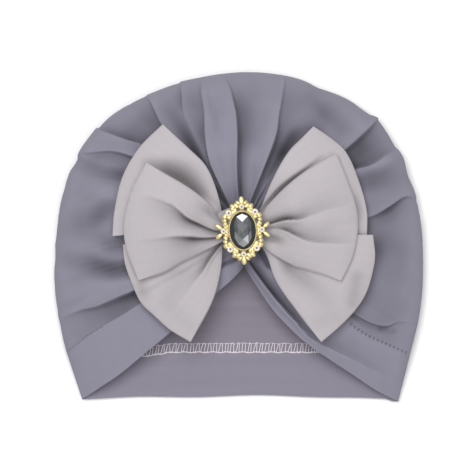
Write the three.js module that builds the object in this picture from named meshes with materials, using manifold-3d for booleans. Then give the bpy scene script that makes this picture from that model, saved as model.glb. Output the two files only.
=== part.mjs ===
// A baby's turban cap of soft jersey, laid on its back on a table. Its front is gathered
// to one point, where a bow of three looped ribbons, a knot and an oval brooch are sewn on.
// Millimetres. +X is to the right seen from the front, +Y goes from the hem to the crown,
// and +Z goes from the back of the cap, which lies at zero, up through the front.
import * as THREE from "three";
import { mergeVertices } from "three/addons/utils/BufferGeometryUtils.js";
import Module from "manifold-3d";

const wasm = await Module();
wasm.setup();

// Sizes of the cloth
const GATHER = { x: 1.8, y: 2.9, z: 14 }; // where the front is pinched together
const CROWN_WALL = 1.3;
const BAND_WALL = 1.6;
const RIBBON_WALL = 0.9;
const GAP = 0.4; // left between pieces that touch
const SEAM_GAP = 0.65; // left between the crown and the band
const UNDER_CURL = 7; // how far the side rolls in under the cap
const DOME_POWER = 2.6; // a higher power makes a flatter top and a steeper side
const PINCH_SPREAD = 0.3; // how far the dip round the gather reaches, as a share of the reach

// Sizes of the brooch
const BROOCH = { x: 2.0, y: 3.0, z: 30.4, turn: 2.7 };
const STONE = { halfWidth: 6.2, halfLength: 8.9, girdle: 2.4, top: 5.2, table: 0.52 };
const BEZEL = { wall: 0.95, height: 3.1 };
const PLATE = { halfWidth: 9.6, halfLength: 12.2, thickness: 1.2 };

// The crown's outline and form by bearing, in degrees from +X about the gather.
// reach is the outline's distance, loft the height of the front, edge that of the side fold.
const crownForm = [
  { bearing: -42, reach: 104, loft: 20, edge: 5.5 },
  { bearing: -36.5, reach: 99.8, loft: 20.6, edge: 5.8 },
  { bearing: -20, reach: 91.2, loft: 22.5, edge: 7 },
  { bearing: 0, reach: 85.6, loft: 24.5, edge: 8 },
  { bearing: 20, reach: 84.6, loft: 26, edge: 8 },
  { bearing: 40, reach: 83.6, loft: 28, edge: 8 },
  { bearing: 60, reach: 78.6, loft: 30, edge: 8 },
  { bearing: 80, reach: 76.6, loft: 30.5, edge: 8 },
  { bearing: 100, reach: 75.6, loft: 30.5, edge: 8 },
  { bearing: 120, reach: 78.2, loft: 30, edge: 8 },
  { bearing: 140, reach: 83.8, loft: 28, edge: 8 },
  { bearing: 160, reach: 87.6, loft: 26, edge: 8 },
  { bearing: 180, reach: 88.6, loft: 24.5, edge: 8 },
  { bearing: 200, reach: 94.4, loft: 22.5, edge: 7 },
  { bearing: 214.5, reach: 102, loft: 20, edge: 5.5 },
];

// Creases of the gathered front, by rising bearing. pin, mid and rim are the bearings at the
// gather, half way and at the outline; deep values are depths there; cw and ccw are the
// shares of the space to the next crease over which the cloth climbs out on each side.
const creases = [
  { pin: -42, mid: -41.2, rim: -36.5, deepPin: 0, deepMid: 0.6, deepRim: 0.4, cw: 0.3, ccw: 0.3 },
  { pin: -30, mid: -32, rim: -28, deepPin: 1, deepMid: 1.8, deepRim: 1, cw: 0.6, ccw: 0.16 },
  { pin: -10, mid: -8, rim: -5, deepPin: 3, deepMid: 2.2, deepRim: 0, cw: 0.5, ccw: 0.5 },
  { pin: 4, mid: 5, rim: 12, deepPin: 3, deepMid: 3.2, deepRim: 1.2, cw: 0.5, ccw: 0.2 },
  { pin: 26, mid: 27, rim: 28, deepPin: 4, deepMid: 4.6, deepRim: 2.4, cw: 0.2, ccw: 0.6 },
  { pin: 56, mid: 54, rim: 52, deepPin: 3, deepMid: 1.4, deepRim: 0.6, cw: 0.4, ccw: 0.4 },
  { pin: 68, mid: 68.5, rim: 71, deepPin: 5.5, deepMid: 5, deepRim: 1, cw: 0.95, ccw: 0.14 },
  { pin: 97, mid: 93.5, rim: 96.5, deepPin: 5.5, deepMid: 3.4, deepRim: 0.8, cw: 0.5, ccw: 0.16 },
  { pin: 124, mid: 113.5, rim: 105, deepPin: 5, deepMid: 3.2, deepRim: 0.8, cw: 0.2, ccw: 0.9 },
  { pin: 134, mid: 128, rim: 124.5, deepPin: 3.5, deepMid: 3.2, deepRim: 1.4, cw: 0.2, ccw: 0.6 },
  { pin: 137, mid: 139, rim: 144.5, deepPin: 4, deepMid: 4, deepRim: 2.6, cw: 0.7, ccw: 0.2 },
  { pin: 143, mid: 146, rim: 156, deepPin: 4, deepMid: 4, deepRim: 0.8, cw: 0.3, ccw: 0.5 },
  { pin: 155, mid: 155, rim: 162, deepPin: 2.6, deepMid: 2.4, deepRim: 0.6, cw: 0.4, ccw: 0.4 },
  { pin: 175, mid: 173, rim: 170, deepPin: 2.6, deepMid: 2.4, deepRim: 0.4, cw: 0.4, ccw: 0.5 },
  { pin: 204, mid: 199, rim: 187, deepPin: 4, deepMid: 3.8, deepRim: 0.8, cw: 0.4, ccw: 0.4 },
  { pin: 208, mid: 208, rim: 205.5, deepPin: 1.2, deepMid: 2.4, deepRim: 0.8, cw: 0.2, ccw: 0.6 },
  { pin: 214.5, mid: 214.5, rim: 214.5, deepPin: 0, deepMid: 0.6, deepRim: 0.4, cw: 0.3, ccw: 0.3 },
];

// Hem edge of the front, from the gather out to each corner. share runs as the crown's does.
const hemLeft = [
  { share: 0, x: 2.2, y: -14.4, z: 12.5 },
  { share: 0.3, x: -22.2, y: -36.5, z: 13.5 },
  { share: 0.6, x: -45.4, y: -56.2, z: 12.5 },
  { share: 0.85, x: -63.8, y: -70.8, z: 8 },
  { share: 1, x: -75, y: -78, z: 2.4 },
];
const hemRight = [
  { share: 0, x: 3, y: -14.4, z: 12.5 },
  { share: 0.2, x: 16.6, y: -35.4, z: 14.5 },
  { share: 0.4, x: 31, y: -50.2, z: 14.5 },
  { share: 0.7, x: 55, y: -66, z: 10 },
  { share: 1, x: 76.6, y: -79, z: 2.4 },
];
const HEM_CURL = 2.6; // how far the hem's corners roll in under
const BACK_HEM_Y = -76.4;
const BACK_SEAM_Y = -55.7; // where the band is sewn to the back
const ROLL_HEIGHT = 2.2; // turned-up fold along the right half of the hem

// Wings of the bow. one and two are the corners of the outer end, and each bow value is how far
// that edge swells.
const wings = {
  upRight: { one: [34.8, 51.7], two: [60.1, 1], bowOne: 4, bowTwo: 0, bowEnd: 8 },
  downLeft: { one: [-54, -3.2], two: [-22.5, -49.2], bowOne: 0, bowTwo: 4.2, bowEnd: 8.8 },
  upLeft: { one: [-35.5, 52.9], two: [-58.7, 0.5], bowOne: 5.5, bowTwo: 0, bowEnd: 7.5 },
  downRight: { one: [62.9, 1.9], two: [39, -49.2], bowOne: 0, bowTwo: 2.5, bowEnd: 9 },
  frontLeft: { one: [-42.5, 34.5], two: [-46.2, -20], bowOne: 2.5, bowTwo: 0, bowEnd: 9 },
  frontRight: { one: [45.9, 35.9], two: [47.8, -20.2], bowOne: 5.5, bowTwo: 2.8, bowEnd: 8.6 },
};
// Ribbons from the lowest up. near, mid and far are heights of the under cloth over the crown at
// the pinch, LEVEL_MID away and LEVEL_FAR away; open is how far the two cloths of a wing part.
const ribbons = [
  { name: "ribbon_rising_right", left: "downLeft", right: "upRight", slant: 31.5, near: 1.4, mid: 1.4, far: 1.2, open: 2.6 },
  { name: "ribbon_rising_left", left: "upLeft", right: "downRight", slant: -27, near: 4.2, mid: 5.6, far: 5.8, open: 2.6 },
  { name: "ribbon_front", left: "frontLeft", right: "frontRight", slant: 0, near: 7.3, mid: 10.9, far: 11.2, open: 5.2 },
];
const RIBBON = { pinchHalf: 4.2, gapPinch: 0.5, gapEdge: 0.9, pleat: 0.9, pleats: 2.5 };
const [LEVEL_MID, LEVEL_FAR] = [17, 45];

// Colours of the finish
const cloth = (color, roughness) => new THREE.MeshStandardMaterial({ color, roughness, metalness: 0 });
const jersey = cloth(0x8f8c9c, 0.85);
const jerseyBand = cloth(0x8d8a9a, 0.85);
const satin = cloth(0xc4bfc2, 0.6);
const gilt = new THREE.MeshStandardMaterial({ color: 0xd9b65c, roughness: 0.3, metalness: 1 });
const smokedGlass = new THREE.MeshStandardMaterial({ color: 0x3c4146, roughness: 0.05, metalness: 0.1 });
const clearGlass = new THREE.MeshStandardMaterial({ color: 0xe6e4ea, roughness: 0.05, metalness: 0.1 });

const { lerp, clamp, smoothstep, degToRad } = THREE.MathUtils;

// A smooth curve through the rows of a table: column against key, slopes from the neighbours.
function curveOf(rows, key, column) {
  const xs = rows.map((row) => row[key]);
  const ys = rows.map((row) => row[column]);
  const last = xs.length - 1;
  const slope = (i) => {
    const before = Math.max(i - 1, 0);
    const after = Math.min(i + 1, last);
    return (ys[after] - ys[before]) / (xs[after] - xs[before]);
  };
  return (x) => {
    const at = clamp(x, xs[0], xs[last]);
    let i = 0;
    while (i < last - 1 && at > xs[i + 1]) i += 1;
    const width = xs[i + 1] - xs[i];
    const f = (at - xs[i]) / width;
    const rise = f * f * (3 - 2 * f);
    const lead = f * (1 - f) * (1 - f) * width * slope(i);
    const trail = -f * f * (1 - f) * width * slope(i + 1);
    return lerp(ys[i], ys[i + 1], rise) + lead + trail;
  };
}

const reachAt = curveOf(crownForm, "bearing", "reach");
const loftAt = curveOf(crownForm, "bearing", "loft");
const edgeAt = curveOf(crownForm, "bearing", "edge");

// Height of the unfolded front at a share of the reach: a flattened dome with a dip at the gather.
function frontHeight(bearing, share) {
  const edge = edgeAt(bearing);
  const loft = loftAt(bearing);
  const dome = edge + (loft - edge) * Math.sqrt(Math.max(0, 1 - share ** DOME_POWER));
  return dome - (loft - GATHER.z) * Math.exp(-((share / PINCH_SPREAD) ** 2));
}

// The same height over any point of the plan, carried on below the seams for the bow to lie on.
function bedHeight(x, y) {
  const [dx, dy] = [x - GATHER.x, y - GATHER.y];
  let bearing = THREE.MathUtils.radToDeg(Math.atan2(dy, dx));
  if (bearing < -90) bearing += 360;
  const share = Math.hypot(dx, dy) / reachAt(bearing);
  return frontHeight(bearing, Math.min(share, 1));
}

// One point of the crown's section in distance and height. stage 0 to 1 is the front, from the
// gather to the outline, and 1 to 2 the quarter turn under it.
function sectionPoint(bearing, stage) {
  const reach = reachAt(bearing);
  if (stage <= 1) {
    const share = 1 - (1 - stage) ** 2;
    return new THREE.Vector2(reach * share, frontHeight(bearing, share));
  }
  const turn = (stage - 1) * Math.PI / 2;
  const distance = reach - UNDER_CURL * (1 - Math.cos(turn));
  return new THREE.Vector2(distance, edgeAt(bearing) * (1 - Math.sin(turn)));
}

// How far a crease's sides have climbed at a share of the way to its neighbour.
const climb = (share, width) => Math.max(0, 1 - share / width) ** 2;

// A value set at the gather, half way and at the outline, by share of the reach.
const threeWay = (pin, mid, rim, share) =>
  share < 0.5 ? lerp(pin, mid, share * 2) : lerp(mid, rim, share * 2 - 1);

function creaseDepth(crease, share) {
  const deep = threeWay(crease.deepPin, crease.deepMid, crease.deepRim, share);
  return deep * smoothstep(share, 0.04, 0.2);
}

// Point of the crown's outer face on a column: the whole part of column counts creases.
function crownPoint(column, stage) {
  const i = Math.min(Math.floor(column), creases.length - 2);
  const f = column - i;
  const [here, next] = [creases[i], creases[i + 1]];
  const share = stage < 1 ? 1 - (1 - stage) ** 2 : 1;
  const bearingOf = (crease) => threeWay(crease.pin, crease.mid, crease.rim, share);
  const bearing = lerp(bearingOf(here), bearingOf(next), f);
  const depth =
    (creaseDepth(here, share) * climb(f, here.ccw) + creaseDepth(next, share) * climb(1 - f, next.cw)) *
    (stage > 1 ? 2 - stage : 1);
  const step = 0.01;
  const along = sectionPoint(bearing, Math.min(stage + step, 2)).sub(
    sectionPoint(bearing, Math.max(stage - step, 0)),
  );
  const inward = new THREE.Vector2(along.y, -along.x).normalize();
  const at = sectionPoint(bearing, stage).addScaledVector(inward, depth);
  return fromGather(bearing, at.x, at.y);
}

function fromGather(bearing, distance, z) {
  const angle = degToRad(bearing);
  return new THREE.Vector3(GATHER.x + distance * Math.cos(angle), GATHER.y + distance * Math.sin(angle), z);
}

// Where the back meets the band, below the two side seams: a straight line with eased ends.
function backSeamDistance(bearing) {
  const [right, left] = [360 + creases[0].rim, creases.at(-1).rim];
  const line = (BACK_SEAM_Y - GATHER.y) / Math.sin(degToRad(bearing));
  const fromEnd = Math.min(bearing - left, right - bearing);
  const atEnd = (BACK_SEAM_Y - GATHER.y) / Math.sin(degToRad(left));
  const foldFoot = (reachAt(left) + reachAt(right - 360)) / 2 - UNDER_CURL;
  return line - (atEnd - foldFoot) * Math.exp(-fromEnd / 6);
}

// Outward normals of a sheet of cloth at its points.
function normalsOf({ points, triangles }) {
  const normals = points.map(() => new THREE.Vector3());
  for (const [a, b, c] of triangles) {
    const ab = points[b].clone().sub(points[a]);
    const ac = points[c].clone().sub(points[a]);
    const normal = ab.cross(ac);
    for (const corner of [a, b, c]) normals[corner].add(normal);
  }
  return normals.map((normal) => normal.normalize());
}

// A sheet of cloth given a wall along its inward normals.
function thicken({ points, triangles }, normals, wall) {
  const inner = points.map((point, i) => point.clone().addScaledVector(normals[i], -wall));
  const shift = points.length;
  const faces = triangles.flatMap(([a, b, c]) => [[a, b, c], [a + shift, c + shift, b + shift]]);
  const edges = new Set(triangles.flatMap(([a, b, c]) => [`${a},${b}`, `${b},${c}`, `${c},${a}`]));
  for (const edge of edges) {
    const [a, b] = edge.split(",").map(Number);
    if (edges.has(`${b},${a}`)) continue;
    faces.push([b, a, a + shift], [b, a + shift, b + shift]);
  }
  return geometryFrom([...points, ...inner], faces);
}

function geometryFrom(points, faces) {
  const geometry = new THREE.BufferGeometry();
  geometry.setAttribute("position", new THREE.Float32BufferAttribute(points.flatMap((p) => p.toArray()), 3));
  geometry.setIndex(faces.flat());
  return geometry;
}

// Two triangles for each cell of a grid of point numbers, cut along the shorter diagonal.
function gridTriangles(grid, points) {
  const found = [];
  for (let i = 0; i + 1 < grid.length; i += 1) {
    for (let j = 0; j + 1 < grid[i].length; j += 1) {
      const [a, b, c, d] = [grid[i][j], grid[i + 1][j], grid[i + 1][j + 1], grid[i][j + 1]];
      const acrossAC = points[a].distanceTo(points[c]) < points[b].distanceTo(points[d]);
      const pair = acrossAC ? [[a, b, c], [a, c, d]] : [[a, b, d], [b, c, d]];
      found.push(...pair.filter(([p, q, r]) => p !== q && q !== r && r !== p));
    }
  }
  return found;
}

// Where along the front and round the side the sections are cut.
const frontStages = [0.09, 0.18, 0.27, 0.37, 0.48, 0.6, 0.73, 0.87, 1];
const turnStages = [1.34, 1.67, 2];
const backShares = [0.72, 0.42, 0.16];
const lowerBearings = [222, 232, 245, 260, 276, 291, 304, 314];

// Columns of the crown: each crease, and two places between it and the next.
const crownColumns = creases.flatMap((crease, i) => {
  if (i === creases.length - 1) return [i];
  return [i, i + clamp(crease.ccw, 0.16, 0.4), i + 1 - clamp(creases[i + 1].cw, 0.16, 0.4)];
});

function crownSheet() {
  const points = [];
  const put = (point) => points.push(point) - 1;
  const frontPole = put(new THREE.Vector3(GATHER.x, GATHER.y, GATHER.z));
  const backPole = put(new THREE.Vector3(GATHER.x, GATHER.y, 0));
  const upper = crownColumns.map((column) => [
    frontPole,
    ...[...frontStages, ...turnStages].map((stage) => put(crownPoint(column, stage))),
  ]);
  const footOf = (bearing, distance) => backShares.map((share) => put(fromGather(bearing, distance * share, 0)));
  const backs = upper.map((column) => {
    const foot = column.at(-1);
    const { x, y } = points[foot];
    const bearing = THREE.MathUtils.radToDeg(Math.atan2(y - GATHER.y, x - GATHER.x));
    return [foot, ...footOf(bearing, Math.hypot(x - GATHER.x, y - GATHER.y)), backPole];
  });
  const lowers = lowerBearings.map((bearing) => {
    const distance = backSeamDistance(bearing);
    return [put(fromGather(bearing, distance, 0)), ...footOf(bearing, distance), backPole];
  });
  const round = [...backs, ...lowers, backs[0]];
  const triangles = [...gridTriangles(upper, points), ...gridTriangles(round, points)];
  const rim = { left: upper.at(-1), right: upper[0], back: lowers.map(([foot]) => foot) };
  return { points, triangles: triangles.map(([a, b, c]) => [a, c, b]), rim };
}

// The band as rows across it: front left outward, back left to right, front right inward. Each
// row starts at the crown's rim, whose normal its first point shares.
function bandSheet(crown, crownNormals) {
  const points = [];
  const sharedNormals = new Map();
  const acrossShares = [0, 0.12, 0.38, 0.66, 0.87, 1];
  const row = (rimPoint, hem, away, lift) => {
    const seam = crown.points[rimPoint].clone().addScaledVector(away, SEAM_GAP);
    return acrossShares.map((across) => {
      const point = seam.clone().lerp(hem, across);
      point.z += lift * Math.sin(Math.PI * across);
      if (point.z > 0.01) point.z = Math.min(point.z, bedHeight(point.x, point.y) - 0.2);
      if (across === 0) sharedNormals.set(points.length, crownNormals[rimPoint]);
      return points.push(point) - 1;
    });
  };
  const side = (rim, table, lift) => {
    const [x, y, z] = ["x", "y", "z"].map((name) => curveOf(table, "share", name));
    return rim.map((rimPoint, k) => {
      const stage = [0, ...frontStages, ...turnStages][k];
      const share = stage < 1 ? 1 - (1 - stage) ** 2 : 1;
      const hem = new THREE.Vector3(x(share), y(share), z(share));
      if (stage > 1) {
        const turn = (stage - 1) * Math.PI / 2;
        hem.x -= Math.sign(hem.x) * HEM_CURL * (1 - Math.cos(turn));
        hem.z *= 1 - Math.sin(turn);
      }
      const [before, after] = [rim[Math.max(k - 1, 0)], rim[Math.min(k + 1, rim.length - 1)]];
      const along = crown.points[after].clone().sub(crown.points[before]);
      const away = along.cross(crownNormals[rimPoint]).normalize();
      if (away.dot(hem.clone().sub(crown.points[rimPoint])) < 0) away.negate();
      return row(rimPoint, hem, away, lift * (1 - share ** 3));
    });
  };
  const [cornerLeft, cornerRight] = [hemLeft.at(-1), hemRight.at(-1)];
  const [hemFrom, hemTo] = [cornerLeft.x + HEM_CURL, cornerRight.x - HEM_CURL];
  const down = new THREE.Vector3(0, -1, 0);
  const back = crown.rim.back.map((rimPoint, i) => {
    const along = (i + 1) / (crown.rim.back.length + 1);
    const dip = Math.abs(2 * along - 1) ** 3;
    const hem = new THREE.Vector3(lerp(hemFrom, hemTo, along), lerp(BACK_HEM_Y, cornerLeft.y, dip), 0);
    return row(rimPoint, hem, down, 0);
  });
  const left = side(crown.rim.left, hemLeft, ROLL_HEIGHT * 0.4);
  const right = side(crown.rim.right, hemRight, ROLL_HEIGHT);
  const grid = [...left, ...back, ...right.reverse()];
  const sheet = { points, triangles: gridTriangles(grid, points) };
  const normals = normalsOf(sheet).map((normal, i) => sharedNormals.get(i) ?? normal);
  return { ...sheet, normals };
}

// Plan of a wing: along runs from the pinch to the outer end, across from edge one to edge two.
function wingPlan(wing, pinchOne, pinchTwo, along, across) {
  const swell = 4 * along * (1 - along);
  const edge = (from, to, bow, side) => {
    const [x, y] = [lerp(from[0], to[0], along), lerp(from[1], to[1], along)];
    const length = Math.hypot(to[0] - from[0], to[1] - from[1]);
    const normal = [-(to[1] - from[1]) / length, (to[0] - from[0]) / length];
    return [x + side * bow * swell * normal[0], y + side * bow * swell * normal[1]];
  };
  const side = wing.one[0] > pinchOne[0] ? 1 : -1;
  const first = edge(pinchOne, wing.one, wing.bowOne, side);
  const second = edge(pinchTwo, wing.two, wing.bowTwo, -side);
  const end = [(wing.one[0] + wing.two[0]) / 2, (wing.one[1] + wing.two[1]) / 2];
  const out = [end[0] - GATHER.x, end[1] - GATHER.y];
  const push = (wing.bowEnd * along ** 3 * 4 * across * (1 - across)) / Math.hypot(...out);
  return [
    lerp(first[0], second[0], across) + out[0] * push,
    lerp(first[1], second[1], across) + out[1] * push,
  ];
}

// A ribbon is one loop: over the left wing to its end fold, back below, and the same on the right.
function ribbonSheet({ left, right, slant, near, mid, far, open }) {
  const angle = degToRad(slant);
  const offset = [-Math.sin(angle) * RIBBON.pinchHalf, Math.cos(angle) * RIBBON.pinchHalf];
  const pinchOne = [BROOCH.x + offset[0], BROOCH.y + offset[1]];
  const pinchTwo = [BROOCH.x - offset[0], BROOCH.y - offset[1]];
  const acrossShares = Array.from({ length: 11 }, (_, i) => i / 10);
  const point = (wing, along, across, height) => {
    const [x, y] = wingPlan(wing, pinchOne, pinchTwo, along, across);
    const away = Math.hypot(x - BROOCH.x, y - BROOCH.y);
    const rise = smoothstep(away, 4, LEVEL_MID);
    const under = bedHeight(x, y) + lerp(near, lerp(mid, far, smoothstep(away, LEVEL_MID, LEVEL_FAR)), rise);
    const lens = Math.sin(Math.PI * across) ** 0.8;
    const parted = smoothstep(along, 0.16, 0.6);
    const gap = lerp(RIBBON.gapPinch, lerp(RIBBON.gapEdge, open, lens), parted);
    const fade = smoothstep(along, 0.1, 0.3) * (1 - smoothstep(along, 0.45, 0.95));
    const pleat = RIBBON.pleat * fade * (0.5 - 0.5 * Math.cos(2 * Math.PI * RIBBON.pleats * across));
    const top = under + 2 * RIBBON_WALL + gap + pleat;
    return new THREE.Vector3(x, y, lerp(under, top, height));
  };
  // How far out each section of a wing lies, and how high between the two cloths.
  const overStages = [0.09, 0.2, 0.33, 0.47, 0.62, 0.78, 0.93];
  const endStages = [{ along: 0.985, height: 0.82 }, { along: 1, height: 0.5 }, { along: 0.985, height: 0.18 }];
  const half = [
    ...overStages.map((along) => ({ along, height: 1 })),
    ...endStages,
    ...[...overStages].reverse().map((along) => ({ along, height: 0 })),
  ];
  const stages = [
    { wing: wings[left], along: 0, height: 1 },
    ...half.map((stage) => ({ wing: wings[left], ...stage })),
    { wing: wings[left], along: 0, height: 0 },
    ...[...half].reverse().map((stage) => ({ wing: wings[right], ...stage })),
  ];
  const points = [];
  const grid = stages.map(({ wing, along, height }) =>
    acrossShares.map((across) => points.push(point(wing, along, across, height)) - 1),
  );
  grid.push(grid[0]);
  return { points, triangles: gridTriangles(grid, points) };
}

// The knot: a padded strap over the pinch, its two ends turned down to the cloth under them.
const KNOT = { x: 2.72, turn: 4, halfWidth: 1, outer: 13.5, inner: 12.2, under: 28.6, footUp: 19, footDown: 16.2 };
const KNOT_PAD = { halfWidth: 7, halfLength: 8.6, thickness: 1.6 };
function knotGeometry() {
  const top = BROOCH.z - GAP;
  const shape = new THREE.Shape();
  shape.moveTo(-KNOT.outer, KNOT.footDown);
  shape.lineTo(-KNOT.inner, KNOT.footDown);
  shape.lineTo(-KNOT.inner, KNOT.under);
  shape.lineTo(KNOT.inner, KNOT.under);
  shape.lineTo(KNOT.inner, KNOT.footUp);
  shape.lineTo(KNOT.outer, KNOT.footUp);
  shape.lineTo(KNOT.outer, top - 1.2);
  shape.quadraticCurveTo(KNOT.outer, top, KNOT.outer - 1.2, top);
  shape.lineTo(1.2 - KNOT.outer, top);
  shape.quadraticCurveTo(-KNOT.outer, top, -KNOT.outer, top - 1.2);
  const depth = 2 * KNOT.halfWidth;
  const geometry = new THREE.ExtrudeGeometry(shape, { depth, bevelEnabled: false, curveSegments: 3 });
  geometry.translate(0, 0, -KNOT.halfWidth);
  geometry.rotateX(Math.PI / 2);
  geometry.rotateZ(Math.PI / 2);
  const pad = oval(KNOT_PAD.halfWidth, KNOT_PAD.halfLength, KNOT_PAD.thickness, 16);
  pad.translate(0, 0, top - KNOT_PAD.thickness);
  return geometryOf(solidOf(geometry).add(solidOf(pad)));
}

// Solids of the brooch are joined and cut as closed bodies.
function solidOf(geometry) {
  const bare = geometry.clone();
  for (const name of ["normal", "uv"]) bare.deleteAttribute(name);
  const merged = mergeVertices(bare, 1e-4);
  return new wasm.Manifold(
    new wasm.Mesh({
      numProp: 3,
      vertProperties: new Float32Array(merged.attributes.position.array),
      triVerts: new Uint32Array(merged.index.array),
    }),
  );
}

function geometryOf(solid) {
  const mesh = solid.getMesh();
  const geometry = new THREE.BufferGeometry();
  geometry.setAttribute("position", new THREE.BufferAttribute(new Float32Array(mesh.vertProperties), 3));
  geometry.setIndex(new THREE.BufferAttribute(new Uint32Array(mesh.triVerts), 1));
  return geometry;
}

function oval(halfWidth, halfLength, height, sides) {
  const geometry = new THREE.CylinderGeometry(1, 1, height, sides);
  geometry.rotateX(Math.PI / 2);
  geometry.translate(0, 0, height / 2);
  geometry.scale(halfWidth, halfLength, 1);
  return geometry;
}

// A cast petal: a flat pebble that points away along its turn.
function petal(x, y, turn, length, width, height) {
  const geometry = new THREE.SphereGeometry(0.5, 6, 4);
  geometry.rotateX(Math.PI / 2);
  geometry.scale(length, width, height);
  geometry.translate(length / 2, 0, 0);
  geometry.rotateZ(degToRad(turn));
  geometry.translate(x, y, PLATE.thickness * 0.75);
  return geometry;
}

// Eight small stones round the brooch, by place on its plate.
const smallStones = [
  { name: "small_stone_top", x: 0, y: 11.4, radius: 0.95 },
  { name: "small_stone_top_right", x: 6.3, y: 8.6, radius: 1.15 },
  { name: "small_stone_right", x: 9.2, y: 0.1, radius: 0.95 },
  { name: "small_stone_bottom_right", x: 6.3, y: -8.6, radius: 1.15 },
  { name: "small_stone_bottom", x: 0, y: -11.4, radius: 0.95 },
  { name: "small_stone_bottom_left", x: -6.3, y: -8.6, radius: 1.15 },
  { name: "small_stone_left", x: -9.2, y: 0.1, radius: 0.95 },
  { name: "small_stone_top_left", x: -6.3, y: 8.6, radius: 1.15 },
];
const CUP = { wall: 0.45, height: 2.1, floor: 1.5 };

// Petals of one quarter of the brooch, mirrored to the other three.
const quarterPetals = [
  { x: 0, y: 12.6, turn: 90, length: 3.6, width: 1.9, height: 1.5 },
  { x: 0.5, y: 12, turn: 42, length: 3, width: 1.4, height: 1.4 },
  { x: 1.6, y: 10.6, turn: 12, length: 3, width: 1.6, height: 1.6 },
  { x: 4.2, y: 9.9, turn: 100, length: 1.8, width: 1.5, height: 1.5 },
  { x: 7.4, y: 6.8, turn: -20, length: 2.2, width: 1.6, height: 1.6 },
  { x: 7.3, y: 5.2, turn: -40, length: 2.6, width: 1.5, height: 1.6 },
  { x: 9.4, y: 0.9, turn: 34, length: 3.8, width: 1.5, height: 1.5 },
];

function settingGeometry() {
  let solid = solidOf(oval(PLATE.halfWidth, PLATE.halfLength, PLATE.thickness, 28));
  for (const { x, y, turn, length, width, height } of quarterPetals) {
    for (const [flipX, flipY] of [[1, 1], [-1, 1], [1, -1], [-1, -1]]) {
      if (x === 0 && flipX < 0) continue;
      const angle = THREE.MathUtils.radToDeg(
        Math.atan2(flipY * Math.sin(degToRad(turn)), flipX * Math.cos(degToRad(turn))),
      );
      solid = solid.add(solidOf(petal(flipX * x, flipY * y, angle, length, width, height)));
    }
  }
  // Pierced openings between the stone's rim and the lace, two beside each end and each side.
  const openings = [[2.2, 10.2, 20], [8.4, 3.1, 78]];
  for (const [x, y, turn] of openings) {
    for (const [flipX, flipY] of [[1, 1], [-1, 1], [1, -1], [-1, -1]]) {
      const cut = oval(1.25, 0.62, 4, 6);
      cut.translate(0, 0, -1);
      cut.rotateZ(degToRad(flipX * flipY * turn));
      cut.translate(flipX * x, flipY * y, 0);
      solid = solid.subtract(solidOf(cut));
    }
  }
  const rimWidth = STONE.halfWidth + BEZEL.wall;
  const rimLength = STONE.halfLength + BEZEL.wall;
  solid = solid.add(solidOf(oval(rimWidth, rimLength, BEZEL.height, 28)));
  const seat = oval(STONE.halfWidth + 0.1, STONE.halfLength + 0.1, 5, 28);
  seat.translate(0, 0, 0.9);
  solid = solid.subtract(solidOf(seat));
  for (const { x, y, radius } of smallStones) {
    const cup = oval(radius + CUP.wall, radius + CUP.wall, CUP.height, 8);
    cup.translate(x, y, 0);
    const bore = oval(radius + 0.1, radius + 0.1, 3, 8);
    bore.translate(x, y, CUP.floor);
    solid = solid.add(solidOf(cup)).subtract(solidOf(bore));
  }
  return geometryOf(solid);
}

// A cut stone in rings from the underside up: an eight-sided table, star and kite facets.
function cutStone(halfWidth, halfLength, rings) {
  const points = [];
  const made = rings.map(({ share, z, count, turn }) =>
    Array.from({ length: count }, (_, i) => {
      const angle = (2 * Math.PI * (i + turn)) / count;
      const [x, y] = [halfWidth * share * Math.cos(angle), halfLength * share * Math.sin(angle)];
      return points.push(new THREE.Vector3(x, y, z)) - 1;
    }),
  );
  const faces = [];
  for (let k = 0; k + 1 < made.length; k += 1) {
    const [low, high] = [made[k], made[k + 1]];
    const n = high.length;
    high.forEach((corner, i) => {
      const after = high[(i + 1) % n];
      if (low.length === n) {
        const turned = rings[k + 1].turn > rings[k].turn ? 1 : 0;
        const [a, b] = [low[i], low[(i + 1) % n]];
        if (turned) faces.push([a, b, corner], [corner, b, after]);
        else faces.push([a, b, after], [a, after, corner]);
        return;
      }
      const [a, b, c] = [low[(2 * i) % (2 * n)], low[(2 * i + 1) % (2 * n)], low[(2 * i + 2) % (2 * n)]];
      faces.push([a, b, corner], [b, after, corner], [b, c, after]);
    });
  }
  const fan = (ring, up) => {
    for (let i = 1; i + 1 < ring.length; i += 1) {
      faces.push(up ? [ring[0], ring[i], ring[i + 1]] : [ring[0], ring[i + 1], ring[i]]);
    }
  };
  fan(made[0], false);
  fan(made.at(-1), true);
  return geometryFrom(points, faces);
}

const stoneGeometry = cutStone(STONE.halfWidth - GAP / 2, STONE.halfLength - GAP / 2, [
  { share: 0.72, z: 0, count: 16, turn: 0 },
  { share: 1, z: STONE.girdle - 0.5, count: 16, turn: 0 },
  { share: 1, z: STONE.girdle, count: 16, turn: 0 },
  { share: 0.8, z: STONE.girdle + 1.6, count: 8, turn: 0 },
  { share: STONE.table, z: STONE.top - 1.2, count: 8, turn: 0.5 },
]);

function smallStoneGeometry(radius) {
  const half = radius - 0.15;
  return cutStone(half, half, [
    { share: 0.8, z: 0, count: 8, turn: 0 },
    { share: 1, z: 0.5, count: 8, turn: 0 },
    { share: 0.55, z: 1.1, count: 8, turn: 0.5 },
  ]);
}

// Assembly
const cap = new THREE.Group();
const addPiece = (parent, name, geometry, material) => {
  const mesh = new THREE.Mesh(geometry, material);
  mesh.name = name;
  parent.add(mesh);
  return mesh;
};

const crown = crownSheet();
const crownNormals = normalsOf(crown);
addPiece(cap, "crown", thicken(crown, crownNormals, CROWN_WALL), jersey);
const band = bandSheet(crown, crownNormals);
addPiece(cap, "hem_band", thicken(band, band.normals, BAND_WALL), jerseyBand);

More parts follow.
